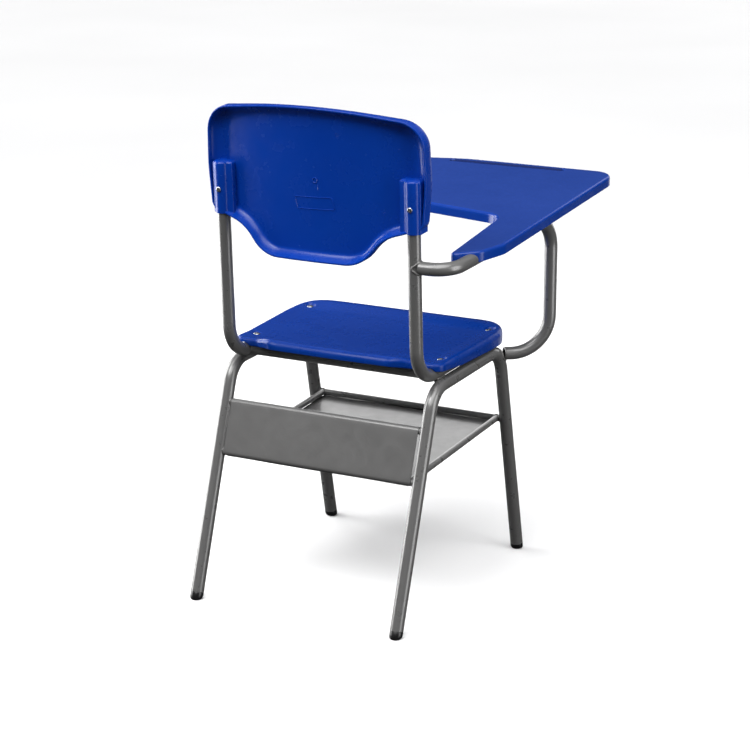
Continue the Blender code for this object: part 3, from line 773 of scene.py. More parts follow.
SEAT_REAR_Y, SEAT_CORNER_Y, SEAT_FRONT_Y = 0.006, -0.014, -0.3065
SEAT_HALF_REAR, SEAT_HALF_FRONT, SEAT_CORNER_R = 0.197, 0.204, 0.086
SEAT_CREST_Y, SEAT_CREST_Z, SEAT_REAR_Z = -0.268, 0.4345, 0.4335
SEAT_FALL, SEAT_FALL_RUN = 0.016, 0.045


def seat_loop(rear_y, corner_y):
    half = (
        (0.118, rear_y, 0.020),
        (0.150, corner_y, 0.020),
        (SEAT_HALF_REAR, corner_y, 0.018),
        (SEAT_HALF_FRONT, -0.200, 0.300),
        (SEAT_HALF_FRONT - 0.001, SEAT_FRONT_Y, SEAT_CORNER_R),
    )
    front = ((0.0, SEAT_FRONT_Y - 0.004, 0.900),)
    rear = ((0.0, rear_y + 0.002, 0.900),)
    return mirrored_outline(rear, half, front)


def seat_land(y):
    """Height of the flat strips of the seat over the rails."""
    return rail_z(y) + TUBE_R + 0.0003 + SKIN


def seat_fall(y):
    """How far the front of the seat rolls down in front of its crest."""
    beyond = np.clip((SEAT_CREST_Y - y) / SEAT_FALL_RUN, 0.0, 1.0)
    return SEAT_FALL * (1.0 - np.sqrt(np.maximum(1.0 - beyond * beyond, 0.0)))


def seat_rim(x, y):
    """Height of the raised rim round the seat."""
    side = seat_land(y) + 0.0055
    rear = smooth(-0.060, -0.010, y) * (1.0 - smooth(0.118, 0.156, np.abs(x)))
    front = smooth(0.225, 0.275, -y)
    height = side + (SEAT_REAR_Z - side) * rear
    return height + (SEAT_CREST_Z - height) * front - seat_fall(y)


def seat_field(x, y):
    """Height of the seat inside its rim: a shallow dish that rises to the front crest."""
    land = seat_land(y)
    across = np.maximum(1.0 - (x / 0.158) ** 2, 0.0)
    along = np.maximum(1.0 - ((y + 0.125) / 0.105) ** 2, 0.0)
    height = land - 0.0052 * across * along
    return height + (SEAT_CREST_Z - height) * smooth(0.232, 0.290, -y) - seat_fall(y)


def seat_edge(x, y):
    """Rounding radius of the seat's edge: tighter where the rails pass under its rear corners."""
    middle = (1.0 - smooth(0.100, 0.135, np.abs(x))) * smooth(-0.050, -0.020, y)
    return 0.0060 + 0.0048 * smooth(0.025, 0.065, -y) + 0.0060 * middle


def seat_height(loop, xy, drop=0.0):
    """The seat's top at flat points: field, rim, rounded edge and a pit round each rivet."""
    x, y = xy[:, 0], xy[:, 1]
    d = distance_to(loop, xy)
    rear = smooth(-0.075, -0.020, y) * (1.0 - smooth(0.120, 0.160, np.abs(x)))
    share = 1.0 - smooth(0.0060, 0.0440 + 0.012 * rear, d)
    base = seat_field(x, y)
    height = base + (seat_rim(x, y) - base) * share
    radius = seat_edge(x, y)
    edge = np.clip(radius - d, 0.0, radius)
    height -= radius - np.sqrt(np.maximum(radius ** 2 - edge ** 2, 0.0))
    for side in (1, -1):
        for spot in RIVET_Y:
            away = np.hypot(x - side * BACK_TUBE_X, y - spot)
            floor = rail_z(spot) + TUBE_R + 0.001 + SKIN + 0.0004
            wall = floor + np.maximum(away - 0.0072, 0.0) * 1.1
            height = np.where(away < 0.016, np.minimum(height, wall), height)
    return height - drop


def seat_hem(x, y):
    """Lower edge of the seat's skirt, lifted at the rear and notched over the rails."""
    rear = smooth(-0.100, -0.010, y)
    lift = 0.005 + 0.004 * (1.0 - smooth(0.118, 0.156, np.abs(x)))
    plain = 0.409 + lift * rear - 0.003 * smooth(0.270, -SEAT_FRONT_Y, -y)
    reach = TUBE_R + 0.0014
    over = np.sqrt(np.maximum(reach ** 2 - (np.abs(x) - BACK_TUBE_X) ** 2, 0.0))
    notch = rail_z(y) + over + 0.0012
    at_rear = (y > -0.030) & (np.abs(np.abs(x) - BACK_TUBE_X) < reach)
    return np.where(at_rear, np.maximum(plain, notch), plain)


def make_seat():
    """Seat shell from its top, over the edge, down the skirt and back under, and its ribs."""
    loop = to_array(respaced(seat_loop(SEAT_REAR_Y, SEAT_CORNER_Y), 0.0021))
    heart = np.array((0.0, -0.150))
    core = inset(loop, 0.0150)

    def level(flat, z):
        return np.column_stack((flat, z))

    def top(flat, drop=0.0):
        return level(flat, seat_height(loop, flat, drop))

    scales = np.concatenate((np.linspace(0.04, 0.72, 20), np.linspace(0.735, 1.0, 26)))
    levels = [top(heart + (core - heart) * s) for s in scales]
    steps = (134, 119, 105, 91, 77, 63, 50, 38, 27, 18, 10, 5, 1)
    levels += [top(inset(loop, step / 10000)) for step in steps]
    hem = seat_hem(loop[:, 0], loop[:, 1])
    brow = seat_rim(loop[:, 0], loop[:, 1]) - seat_edge(loop[:, 0], loop[:, 1])
    for share in (0.0, 0.25, 0.5, 0.75, 0.94):
        levels.append(level(loop, brow + (hem + 0.0002 - brow) * share))
    levels.append(level(inset(loop, 0.0003), hem + 0.0001))
    levels.append(level(inset(loop, 0.0010), hem))
    levels.append(level(inset(loop, SKIN - 0.0014), hem))
    levels.append(level(inset(loop, SKIN - 0.0010), hem + 0.0004))
    inner = inset(loop, SKIN)
    roof = brow - SKIN * 0.5
    roof = np.maximum(roof, hem + 0.0012)
    levels.append(level(inner, hem + (roof - hem) * 0.5))
    levels.append(level(inner, roof))
    levels.append(top(inset(loop, 0.0080), SKIN))
    for s in (1.0, 0.97, 0.94, 0.90, 0.85, 0.78, 0.68, 0.55, 0.42, 0.28, 0.14, 0.05):
        levels.append(top(heart + (core - heart) * s, SKIN))
    verts, faces = stack(levels)
    piece("seat_shell_fine", verts, faces, SEAT_BLUE_PAINTED_SHADE, "seat_plastic", ["seat_shell"], 50.0)

    # Ribs under the seat, between the seat rails and clear of the cross tubes.
    ribs = []
    spans = [("y", x, -0.262, -0.236) for x in (-0.12, -0.06, 0.0, 0.06, 0.12)]
    spans += [("y", x, -0.196, -0.050) for x in (-0.12, -0.06, 0.0, 0.06, 0.12)]
    spans += [("x", y, -0.158, 0.158) for y in (-0.090, -0.140, -0.185, -0.248)]
    for axis, at, low, high in spans:
        line = np.linspace(low, high, 25)
        level_at = np.full(25, at)
        xs, ys = (level_at, line) if axis == "y" else (line, level_at)
        roof = seat_field(xs, ys) - SKIN + 0.0008
        ribs.append(rib(zip(xs, ys, roof), axis, 0.0075, 0.0010))
    piece("seat_ribs", *gather(ribs), SEAT_BLUE_PAINTED_SHADE, "seat_plastic")


def rivet_parts(foot, up, head):
    """Blind rivet: thin flange, low dome and the hollow left by its mandrel."""
    profile = (
        (0.0023, head - 0.006), (0.0023, head), (0.0057, head), (0.0060, head + 0.0002),
        (0.0060, head + 0.0005), (0.0055, head + 0.0010), (0.0045, head + 0.0015),
        (0.0032, head + 0.0019), (0.0020, head + 0.0020), (0.0017, head + 0.0019),
        (0.0015, head + 0.0013), (0.0013, head + 0.0006), (0.0009, head + 0.0005),
        (0.0008, head + 0.0009), (0.0004, head + 0.0010),
    )
    return lathe(foot, up, profile, 36)


def make_rivets():
    up = Vector((0.0, RAIL_SLOPE, 1.0)).normalized()
    head = TUBE_R + 0.001 + SKIN + 0.0006
    for side, word in SIDES:
        for place, y in zip(("rear", "front"), RIVET_Y):
            foot = Vector((side * BACK_TUBE_X, y, rail_z(y)))
            name = "seat_rivet_" + place + "_" + word
            piece(name + "_fine", *rivet_parts(foot, up, head), ZINC, "zinc", [name], 40.0)


# ---- Back ----


def back_place(x, z, depth):
    """Points at a height on the uprights' sloping plane, moved to the rear by a depth."""
    x, z, depth = np.broadcast_arrays(x, z, depth)
    return np.column_stack((x, upright_y(z) + depth, z - UPRIGHT_LEAN * depth))


def back_front(x):
    return 0.008 - x * x / (2.0 * BACK_CURVE_R)


def back_rim(x, z):
    """Depth of the rim's rear edge, greater towards the sides."""
    height = 0.0160 - 0.0030 * smooth(0.600, 0.700, z) + 0.0095 * (x / 0.201) ** 2
    return back_front(x) + SKIN + height


def back_loop():
    half = (
        (0.1976, 0.8342, 0.048),
        (0.2010, 0.7350, 0.300),
        (0.1950, 0.6650, 0.016),
        (0.1274, 0.6446, 0.070),
        (0.0904, 0.5970, 0.059),
    )
    return mirrored_outline(((0.0, 0.8587, 1.0),), half)


def cove(d, height, width):
    """Rear surface between the rim and the skin: a quarter ellipse that leaves the rim steeply."""
    t = np.clip((d - 0.0036) / width, 0.0, 1.0)
    return height * (1.0 - np.sqrt(np.maximum(1.0 - (1.0 - t) ** 2, 0.0))) ** 0.9


def back_rear(loop, flat):
    """Depth of the rear surface inside the rim, which the cove meets more gently at the upper corners."""
    x, z = flat[:, 0], flat[:, 1]
    d = distance_to(loop, flat)
    plain = back_front(x) + SKIN
    height = back_rim(x, z) - plain
    corner = smooth(0.66, 0.76, z) * smooth(0.10, 0.19, np.abs(x))
    width = 0.012 + 0.014 * corner + 0.004 * smooth(0.60, 0.80, z)
    return plain + cove(d, height, width)


def make_back():
    """Curved shell with a deep rear rim, and the two socket bosses on the uprights."""
    loop = to_array(respaced(back_loop(), 0.0021))
    heart = np.array((0.0, 0.745))
    core = inset(loop, 0.0140)
    x, z = loop[:, 0], loop[:, 1]

    def front(distance, extra):
        flat = inset(loop, distance)
        return back_place(flat[:, 0], flat[:, 1], back_front(flat[:, 0]) + extra)

    def middle(scale, rear):
        flat = heart + (core - heart) * scale
        depth = back_rear(loop, flat) if rear else back_front(flat[:, 0])
        return back_place(flat[:, 0], flat[:, 1], depth)

    def rim(distance, drop):
        flat = inset(loop, distance)
        return back_place(flat[:, 0], flat[:, 1], back_rim(x, z) - drop)

    levels = [middle(s, False) for s in (0.05, 0.25, 0.45, 0.62, 0.78, 0.90, 1.0)]
    for distance, extra in (
        (0.0110, 0.0), (0.0085, 0.00005), (0.0065, 0.0003), (0.0048, 0.0008), (0.0033, 0.0015),
        (0.0021, 0.0024), (0.0011, 0.0034), (0.0004, 0.0045), (0.0, 0.0058),
    ):
        levels.append(front(distance, extra))
    lip = back_rim(x, z) - 0.0012
    start = back_front(x) + 0.0058
    for share in (0.33, 0.66, 1.0):
        levels.append(back_place(x, z, start + (lip - start) * share))
    crown = ((0.0002, 0.0006), (0.0006, 0.0002), (0.0012, 0.0), (0.0024, 0.0), (0.0031, 0.0002))
    levels += [rim(distance, drop) for distance, drop in crown]
    for distance in (0.0037, 0.0040, 0.0045, 0.0052, 0.0062, 0.0075, 0.0090, 0.0106, 0.0122):
        flat = inset(loop, distance)
        levels.append(back_place(flat[:, 0], flat[:, 1], back_rear(loop, flat)))
    scales = np.concatenate((np.linspace(1.0, 0.80, 16), np.linspace(0.76, 0.04, 16)))
    levels += [middle(s, True) for s in scales]
    verts, faces = stack(levels)
    piece("back_shell_fine", verts, faces, BACK_BLUE, "back_plastic", ["back_shell"], 50.0)
    for side, word in SIDES:
        piece("back_socket_" + word, *socket_parts(side), BACK_BLUE, "back_plastic", (), 32.0)


def socket_section(side, shrink):
    """Plan section of a socket boss: flat wings and a round sleeve over the upright."""
    x0 = side * BACK_TUBE_X
    reach = {side: 0.0150 - shrink, -side: 0.0225 - shrink}
    wing = 0.0050 - shrink
    radius = SLEEVE_R - shrink
    points = []
    for k in range(9):
        x = x0 - reach[-1] + (reach[-1] + reach[1]) * k / 8
        points.append((x, float(back_front(x)) + 0.0012))
    rise = 0.0016
    half = reach[1]
    points += [(x0 + half, wing - rise), (x0 + half - 0.0002, wing - 0.0006), (x0 + half - 0.0006, wing)]
    first = math.asin(max(wing, 0.001) / radius)
    fillet = radius * math.cos(first) + 0.0016
    points.append((x0 + min(fillet, half - 0.0009), wing))
    for k in range(21):
        a = first + 0.10 + (math.pi - 2.0 * first - 0.20) * k / 20
        points.append((x0 + radius * math.cos(a), radius * math.sin(a)))
    half = reach[-1]
    points.append((x0 - min(fillet, half - 0.0009), wing))
    points += [(x0 - half + 0.0006, wing), (x0 - half + 0.0002, wing - 0.0006), (x0 - half, wing - rise)]
    return points


def socket_parts(side):
    """One boss as a loft up the upright, with a sloping, rounded top and a bore at the bottom."""
    levels = (
        (BOSS_LOW, 0.0008),
        (BOSS_LOW + 0.0006, 0.0),
        (BOSS_LOW + 0.030, 0.0),
        (BOSS_HIGH - 0.028, 0.0),
        (BOSS_HIGH - 0.0040, 0.0),
        (BOSS_HIGH - 0.0022, 0.0003),
        (BOSS_HIGH - 0.0008, 0.0010),
        (BOSS_HIGH + 0.0004, 0.0026),
        (BOSS_HIGH + 0.0016, 0.0052),
    )
    rings = []
    for z, shrink in levels:
        section = socket_section(side, shrink)
        xs = np.array([p[0] for p in section])
        depth = np.array([p[1] for p in section])
        rings.append([Vector(v) for v in back_place(xs, np.full(len(xs), z), depth)])
    return skin(rings)


def screw_parts(heart, axis, base, radius, height, turn):
    """Pan-head screw with a cross recess cut into its crown."""
    profile = (
        (radius * 0.48, base - 0.006), (radius * 0.48, base), (radius * 0.96, base),
        (radius, base + height * 0.12), (radius, base + height * 0.34),
        (radius * 0.95, base + height * 0.60), (radius * 0.82, base + height * 0.84),
        (radius * 0.62, base + height * 0.97), (radius * 0.40, base + height),
    )
    axis = Vector(axis).normalized()
    side = axis.orthogonal().normalized()
    up = axis.cross(side)
    sides = 48
    rings = [circle(Vector(heart) + axis * z, side, up, r, sides) for r, z in profile]
    wing, width = radius * 0.50, radius * 0.11
    for scale, share in ((1.0, 0.985), (0.92, 0.45), (0.30, 0.30)):
        z = base + height * share
        ring = []
        for k in range(sides):
            a = 2.0 * math.pi * k / sides
            local = (a + turn) % (math.pi / 2.0) - math.pi / 4.0
            reach = min(wing * 0.80, width / max(abs(math.sin(local)), 1e-3))
            reach = max(reach, width * 1.2) * scale
            ring.append(Vector(heart) + axis * z + (side * math.cos(a) + up * math.sin(a)) * reach)
        rings.append(ring)
    return skin(rings)


def make_back_screws():
    axis = Vector((0.0, 1.0, -UPRIGHT_LEAN))
    for side, word in SIDES:
        heart = Vector(back_place(side * BACK_TUBE_X, BACK_SCREW_Z, 0.0)[0])
        name = "back_screw_" + word
        parts = screw_parts(heart, axis, SLEEVE_R - 0.0002, 0.0045, 0.0024, 0.4 + side * 0.5)
        piece(name + "_fine", *parts, ZINC, "zinc", [name], 38.0)


def rear_point(x, z, lift=0.0):
    """A point on the rear surface of the back, or a lift behind it."""
    depth = back_front(x) + SKIN + lift
    return Vector(back_place(x, z, depth)[0])


def make_mould_marks():
    """Raised ring, plain slanted frame and ejector marks on the rear of the back."""
    parts = []

    def ridge(spots, closed, radius, lift=0.0):
        line = [rear_point(x, z, lift) for x, z in spots]
        parts.append(skin(rings_along(line, radius, 8, closed), closed=closed))

    def round_mark(x, z, size, radius, lift=0.0):
        turns = [2.0 * math.pi * k / 40 for k in range(40)]
        ridge([(x + size * math.cos(a), z + size * math.sin(a)) for a in turns], True, radius, lift)

    round_mark(-0.005, 0.7300, 0.0040, 0.0010)
    ridge([(-0.0100, 0.7235), (-0.0102, 0.7140)], False, 0.00065)
    label = ((0.0330, 0.7005), (-0.0350, 0.7030), (-0.0395, 0.6835), (0.0285, 0.6810))
    corners = [Vector(c) for c in label]
    frame_line = []
    for k in range(4):
        frame_line += corner_arc(corners[k - 1], corners[k], corners[(k + 1) % 4], 0.0016, 5)
    fine = respaced(frame_line, 0.0020)
    ridge([tuple(p) for p in fine], True, 0.00075)
    for x, z in ((0.1500, 0.7850), (-0.0475, 0.8080), (-0.1500, 0.7870), (-0.1240, 0.6830)):
        round_mark(x, z, 0.0026, 0.00030, -0.0001)
    piece("back_mould_marks", *gather(parts), BACK_BLUE, "back_plastic")


# ---- Tablet ----

GROOVE = ((0.0360, -0.5395), (-0.1760, -0.5435))
GROOVE_HALF, GROOVE_DEPTH = 0.0066, 0.0040


def tablet_loop():
    return outline(
        (
            (-0.2750, -0.5640, 0.035),
            (0.0200, -0.5625, 0.250),
            (0.1250, -0.5380, 0.060),
            (0.1180, -0.2960, 0.050),
            (-0.1990, -0.2380, 0.040),
            (-0.2140, 0.0000, 0.008),
            (-0.2580, -0.0370, 0.014),
            (-0.2750, -0.0870, 0.030),
        )
    )


def groove_frame():
    start, stop = (Vector(p) for p in GROOVE)
    along = (stop - start).normalized()
    return start, stop, along, Vector((-along.y, along.x))


def tablet_array(flat, depth):
    return np.column_stack((flat, tablet_z(flat[:, 1]) - depth))


def make_tablet():
    """Writing surface with a pencil groove, rolled edge, skirt and an underside with ribs."""
    loop = to_array(respaced(tablet_loop(), 0.0040))

    def ring(distance, depth):
        return tablet_array(inset(loop, distance), np.full(len(loop), depth))

    profile = [(0.0062, 0.0), (0.0046, 0.0001), (0.0034, 0.0005), (0.0022, 0.0012), (0.0012, 0.0021)]
    profile += [(0.0005, 0.0032), (0.0001, 0.0045), (0.0, 0.0060)]
    profile += [(0.0, TABLET_DEPTH * 0.6), (0.0, TABLET_DEPTH - 0.0007), (0.0003, TABLET_DEPTH - 0.0002)]
    profile += [(0.0008, TABLET_DEPTH), (0.0024, TABLET_DEPTH), (0.0029, TABLET_DEPTH - 0.0004)]
    profile += [(0.0031, TABLET_DEPTH * 0.6), (0.0034, TABLET_SKIN + 0.0015), (0.0046, TABLET_SKIN)]
    levels = [ring(d, depth) for d, depth in profile]
    size = len(loop)
    work = bmesh.new()
    rings = [[work.verts.new(Vector(v)) for v in level] for level in levels]
    for a, b in zip(rings, rings[1:]):
        for k in range(size):
            work.faces.new((a[k], a[(k + 1) % size], b[(k + 1) % size], b[k]))

    # The pencil groove is a small heightfield let into the flat top.
    start, stop, along, across = groove_frame()
    length = (stop - start).length
    cols, rows = 96, 12
    border = 0.0008
    grid = []
    for i in range(cols + 1):
        u = -GROOVE_HALF - border + (length + 2.0 * (GROOVE_HALF + border)) * i / cols
        line = []
        for j in range(rows + 1):
            w = (j / rows * 2.0 - 1.0) * (GROOVE_HALF + border)
            over = max(-u, u - length, 0.0)
            away = math.hypot(over, w) / GROOVE_HALF
            dip = GROOVE_DEPTH * math.sqrt(max(0.0, 1.0 - away ** 4.0)) if away < 1.0 else 0.0
            p = start + along * u + across * w
            line.append(work.verts.new((p.x, p.y, tablet_z(p.y) - dip)))
        grid.append(line)
    for i in range(cols):
        for j in range(rows):
            work.faces.new((grid[i][j], grid[i + 1][j], grid[i + 1][j + 1], grid[i][j + 1]))
    rim = [grid[i][0] for i in range(cols + 1)] + [grid[cols][j] for j in range(1, rows + 1)]
    rim += [grid[i][rows] for i in range(cols - 1, -1, -1)] + [grid[0][j] for j in range(rows - 1, 0, -1)]

    def edges_of(chain):
        found = []
        for k in range(len(chain)):
            pair = (chain[k - 1], chain[k])
            edge = work.edges.get(pair)
            found.append(edge if edge is not None else work.edges.new(pair))
        return found

    bmesh.ops.triangle_fill(work, use_beauty=True, edges=edges_of(rings[0]) + edges_of(rim))
    bmesh.ops.triangle_fill(work, use_beauty=True, edges=edges_of(rings[-1]))
    bmesh.ops.recalc_face_normals(work, faces=work.faces)
    work.verts.index_update()
    verts = [v.co.copy() for v in work.verts]
    faces = [tuple(v.index for v in face.verts) for face in work.faces]
    work.free()
    top = piece("tablet_top_fine", verts, faces, TABLET_BLUE_PAINTED_SHEEN_AND_SHADE, "tablet_plastic", ["tablet_top"], 30.0)
    top.data.materials.append(TABLET_EDGE)
    top.data.materials.append(TABLET_GROOVE_PAINTED_SHADE)
    # The flat top takes the greyer, darker top tint with its painted sheen and shade; faces below it take
    # the edge blue.
    for face in top.data.polygons:
        heart = face.center - SHIFT
        depth = tablet_z(heart.y) - heart.z
        # Faces down in the pencil groove take the darker groove material, which is painted shade.
        groove_painted_shade = 0.0008 < depth < 0.0045 and distance_to(loop, np.array([heart[:2]]))[0] > 0.008
        face.material_index = 2 if groove_painted_shade else int(depth > 0.0002)
    make_tablet_ribs(loop)


def make_tablet_ribs(loop):
    """A rib grid under the tablet that stops at the skirt and leaves room for its tube."""
    shape = inset(loop, 0.0036)
    path = np.array([tuple(p) for p in tablet_tube_path()])
    start, stop = path[:-1], path[1:]

    def clear_of_tube(p):
        d = stop - start
        t = np.clip(((np.array(p) - start) * d).sum(1) / np.maximum((d * d).sum(1), 1e-12), 0.0, 1.0)
        gap = np.array(p) - (start + d * t[:, None])
        return np.sqrt((gap * gap).sum(1)).min() > TUBE_R + 0.0025

    def inside(x, y):
        a, b = shape, np.roll(shape, -1, 0)
        hit = (a[:, 1] > y) != (b[:, 1] > y)
        safe = np.where(b[:, 1] == a[:, 1], 1e-12, b[:, 1] - a[:, 1])
        cross = a[:, 0] + (y - a[:, 1]) / safe * (b[:, 0] - a[:, 0])
        return bool((hit & (x < cross)).sum() % 2)

    def free(x, y):
        mid = tablet_z(y) - TABLET_SKIN - 0.0045
        brackets = any(math.hypot(x - cx, y - cy) < 0.034 for cx, cy in bracket_spots())
        return inside(x, y) and clear_of_tube((x, y, mid)) and not brackets

    ribs = []
    step = 0.0025
    lines = [("y", x) for x in np.arange(-0.235, 0.12, 0.047)]
    lines += [("x", y) for y in np.arange(-0.515, -0.03, 0.047)]
    for axis, at in lines:
        low, high = (-0.566, 0.0) if axis == "y" else (-0.277, 0.127)
        spots = np.arange(low, high, step)
        run = []
        for s in list(spots) + [None]:
            x, y = (at, s) if axis == "y" else (s, at)
            if s is not None and free(x, y):
                run.append((x, y))
                continue
            if len(run) > 4:
                spots_kept = (run[0], run[len(run) // 2], run[-1])
                spine = [(x, y, tablet_z(y) - TABLET_SKIN + 0.0006) for x, y in spots_kept]
                ribs.append(rib(spine, axis, 0.0096, 0.0009))
            run = []
    # The trough that carries the pencil groove on the underside.
    start, stop, along, across = groove_frame()
    reach = GROOVE_HALF + 0.0018
    rings = []
    for p in (start - along * reach, stop + along * reach):
        section = [(p + across * w, depth) for w, depth in ((-reach, 0.0034), (reach, 0.0034))]
        section += [(p + across * w, depth) for w, depth in ((reach, 0.0062), (-reach, 0.0062))]
        rings.append([Vector((q.x, q.y, tablet_z(q.y) - depth)) for q, depth in section])
    ribs.append(skin(rings))
    piece("tablet_ribs", *gather(ribs), TABLET_EDGE, "tablet_plastic")


def bracket_frame():
    """The straight run of the tablet tube, between its first two bends, and its directions."""
    path = tablet_tube_path()
    start, stop = path[BEND_STEPS + 1], path[BEND_STEPS + 2]
    along = (stop - start).normalized()
    inboard = Vector((0.0, 0.0, 1.0)).cross(along).normalized()
    return start, stop, along, inboard, along.cross(inboard)


def bracket_spots():
    start, stop, _, inboard, _ = bracket_frame()
    spots = []
    for share in BRACKET_AT:
        p = start + (stop - start) * share + inboard * BRACKET_SCREW_REACH
        spots.append((p.x, p.y))
    return spots


def make_brackets():
    """Flat brackets welded to the tube, screwed up into bosses of the tablet."""
    start, stop, along, inboard, up = bracket_frame()
    bosses = []
    for word, share in zip(("rear", "front"), BRACKET_AT):
        heart = start + (stop - start) * share
        tray = tablet_z(heart.y) - heart.z - TABLET_SKIN
        top = tray - 0.006 - 0.0003
        foot = top - BRACKET_THICK
        spots = ((BRACKET_NEAR, -1), (BRACKET_REACH, -1), (BRACKET_REACH, 1), (BRACKET_NEAR, 1))
        corners = [Vector((reach, end * BRACKET_HALF)) for reach, end in spots]
        flat = [corners[0]] + corner_arc(corners[0], corners[1], corners[2], 0.007, 10)
        flat += corner_arc(corners[1], corners[2], corners[3], 0.007, 10) + [corners[3]]
        middle = (BRACKET_NEAR + BRACKET_REACH) / 2.0
        edges = ((0.0005, 0.0), (0.0, 0.0005), (0.0, BRACKET_THICK - 0.0005), (0.0005, BRACKET_THICK))
        rings = []
        for shrink, height in edges:
            ring = []
            for p in flat:
                out = inboard * (p.x - (shrink if p.x > middle else 0.0))
                ring.append(heart + out + along * (p.y - math.copysign(shrink, p.y)) + up * (foot + height))
            rings.append(ring)
        name = "tablet_bracket_" + word
        piece(name + "_fine", *skin(rings), FRAME_PAINT, "frame_paint", [name])
        edge = heart + inboard * 0.0098
        line = [edge + along * shift + up * (foot - 0.0004) for shift in np.linspace(-0.018, 0.018, 12)]
        welds.append(bead_along(line, 0.0019, False, 40 + len(word)))
        for letter, shift in (("a", 0.009 - BRACKET_HALF), ("b", BRACKET_HALF - 0.009)):
            spot = heart + inboard * BRACKET_SCREW_REACH + along * shift
            screw = "tablet_screw_" + word + "_" + letter
            parts = screw_parts(spot, -up, -foot + 0.0002, 0.0040, 0.0020, shift * 60.0)
            piece(screw + "_fine", *parts, ZINC, "zinc", [screw], 38.0)
            profile = ((0.0042, top + 0.0002), (0.0044, top + 0.0006), (0.0052, tray + 0.0006))
            bosses.append(lathe(spot, up, profile, 28))
    piece("tablet_bosses", *gather(bosses), TABLET_BLUE_PAINTED_SHEEN_AND_SHADE, "tablet_plastic")


# ---- Book rack ----


def leg_y(z, place):
    """Where a leg's axis is at a height."""
    if place == "rear":
        return LEG_POINTS[0][0] * (1.0 - z / LEG_POINTS[1][1])
    share = z / LEG_POINTS[2][1]
    return LEG_POINTS[3][0] + (LEG_POINTS[2][0] - LEG_POINTS[3][0]) * share


def make_rack():
    """Round bars cut to fit between the legs, and the sheet that hangs on them."""
    upper_z = RACK_TOP_Z - ROD_R
    lower_z = RACK_BOTTOM_Z + ROD_R + 0.0003
    spots = {
        "rear_upper": Vector((leg_y(upper_z, "rear"), upper_z)),
        "rear_lower": Vector((leg_y(lower_z, "rear"), lower_z)),
        "front": Vector((leg_y(RACK_FRONT_Z, "front"), RACK_FRONT_Z)),
    }
    rear_run = (0.0, -LEG_POINTS[0][0], LEG_POINTS[1][1])
    front_run = (0.0, LEG_POINTS[2][0] - LEG_POINTS[3][0], LEG_POINTS[2][1])
    for place, spot in spots.items():
        run = front_run if place == "front" else rear_run
        ends = [Vector((side * LEG_X, spot.x, spot.y)) for side, _ in SIDES]
        mates = [(tuple(end), run, TUBE_R) for end in ends]
        body, near, far = coped_pipe(*ends, *mates, ROD_R, ROD_R * 0.9, 32)
        name = "rack_bar_" + place
        piece(name + "_fine", *body, FRAME_PAINT, "frame_paint", [name])
        welds.append(bead_along(near, 0.0017, True, 50))
        welds.append(bead_along(far, 0.0017, True, 51))
    side_x = RACK_HALF_SHELF + 0.0006 + ROD_R
    for side, word in SIDES:
        ends = [Vector((side * side_x, spots[p].x, spots[p].y)) for p in ("rear_lower", "front")]
        mates = [(tuple(end), (1.0, 0.0, 0.0), ROD_R) for end in ends]
        body, near, far = coped_pipe(*ends, *mates, ROD_R, ROD_R * 0.9, 32)
        name = "rack_bar_side_" + word
        piece(name + "_fine", *body, FRAME_PAINT, "frame_paint", [name])
        welds.append(bead_along(near, 0.0015, True, 52))
        welds.append(bead_along(far, 0.0015, True, 53))
    make_sheet(spots["rear_upper"], spots["rear_lower"], spots["front"])


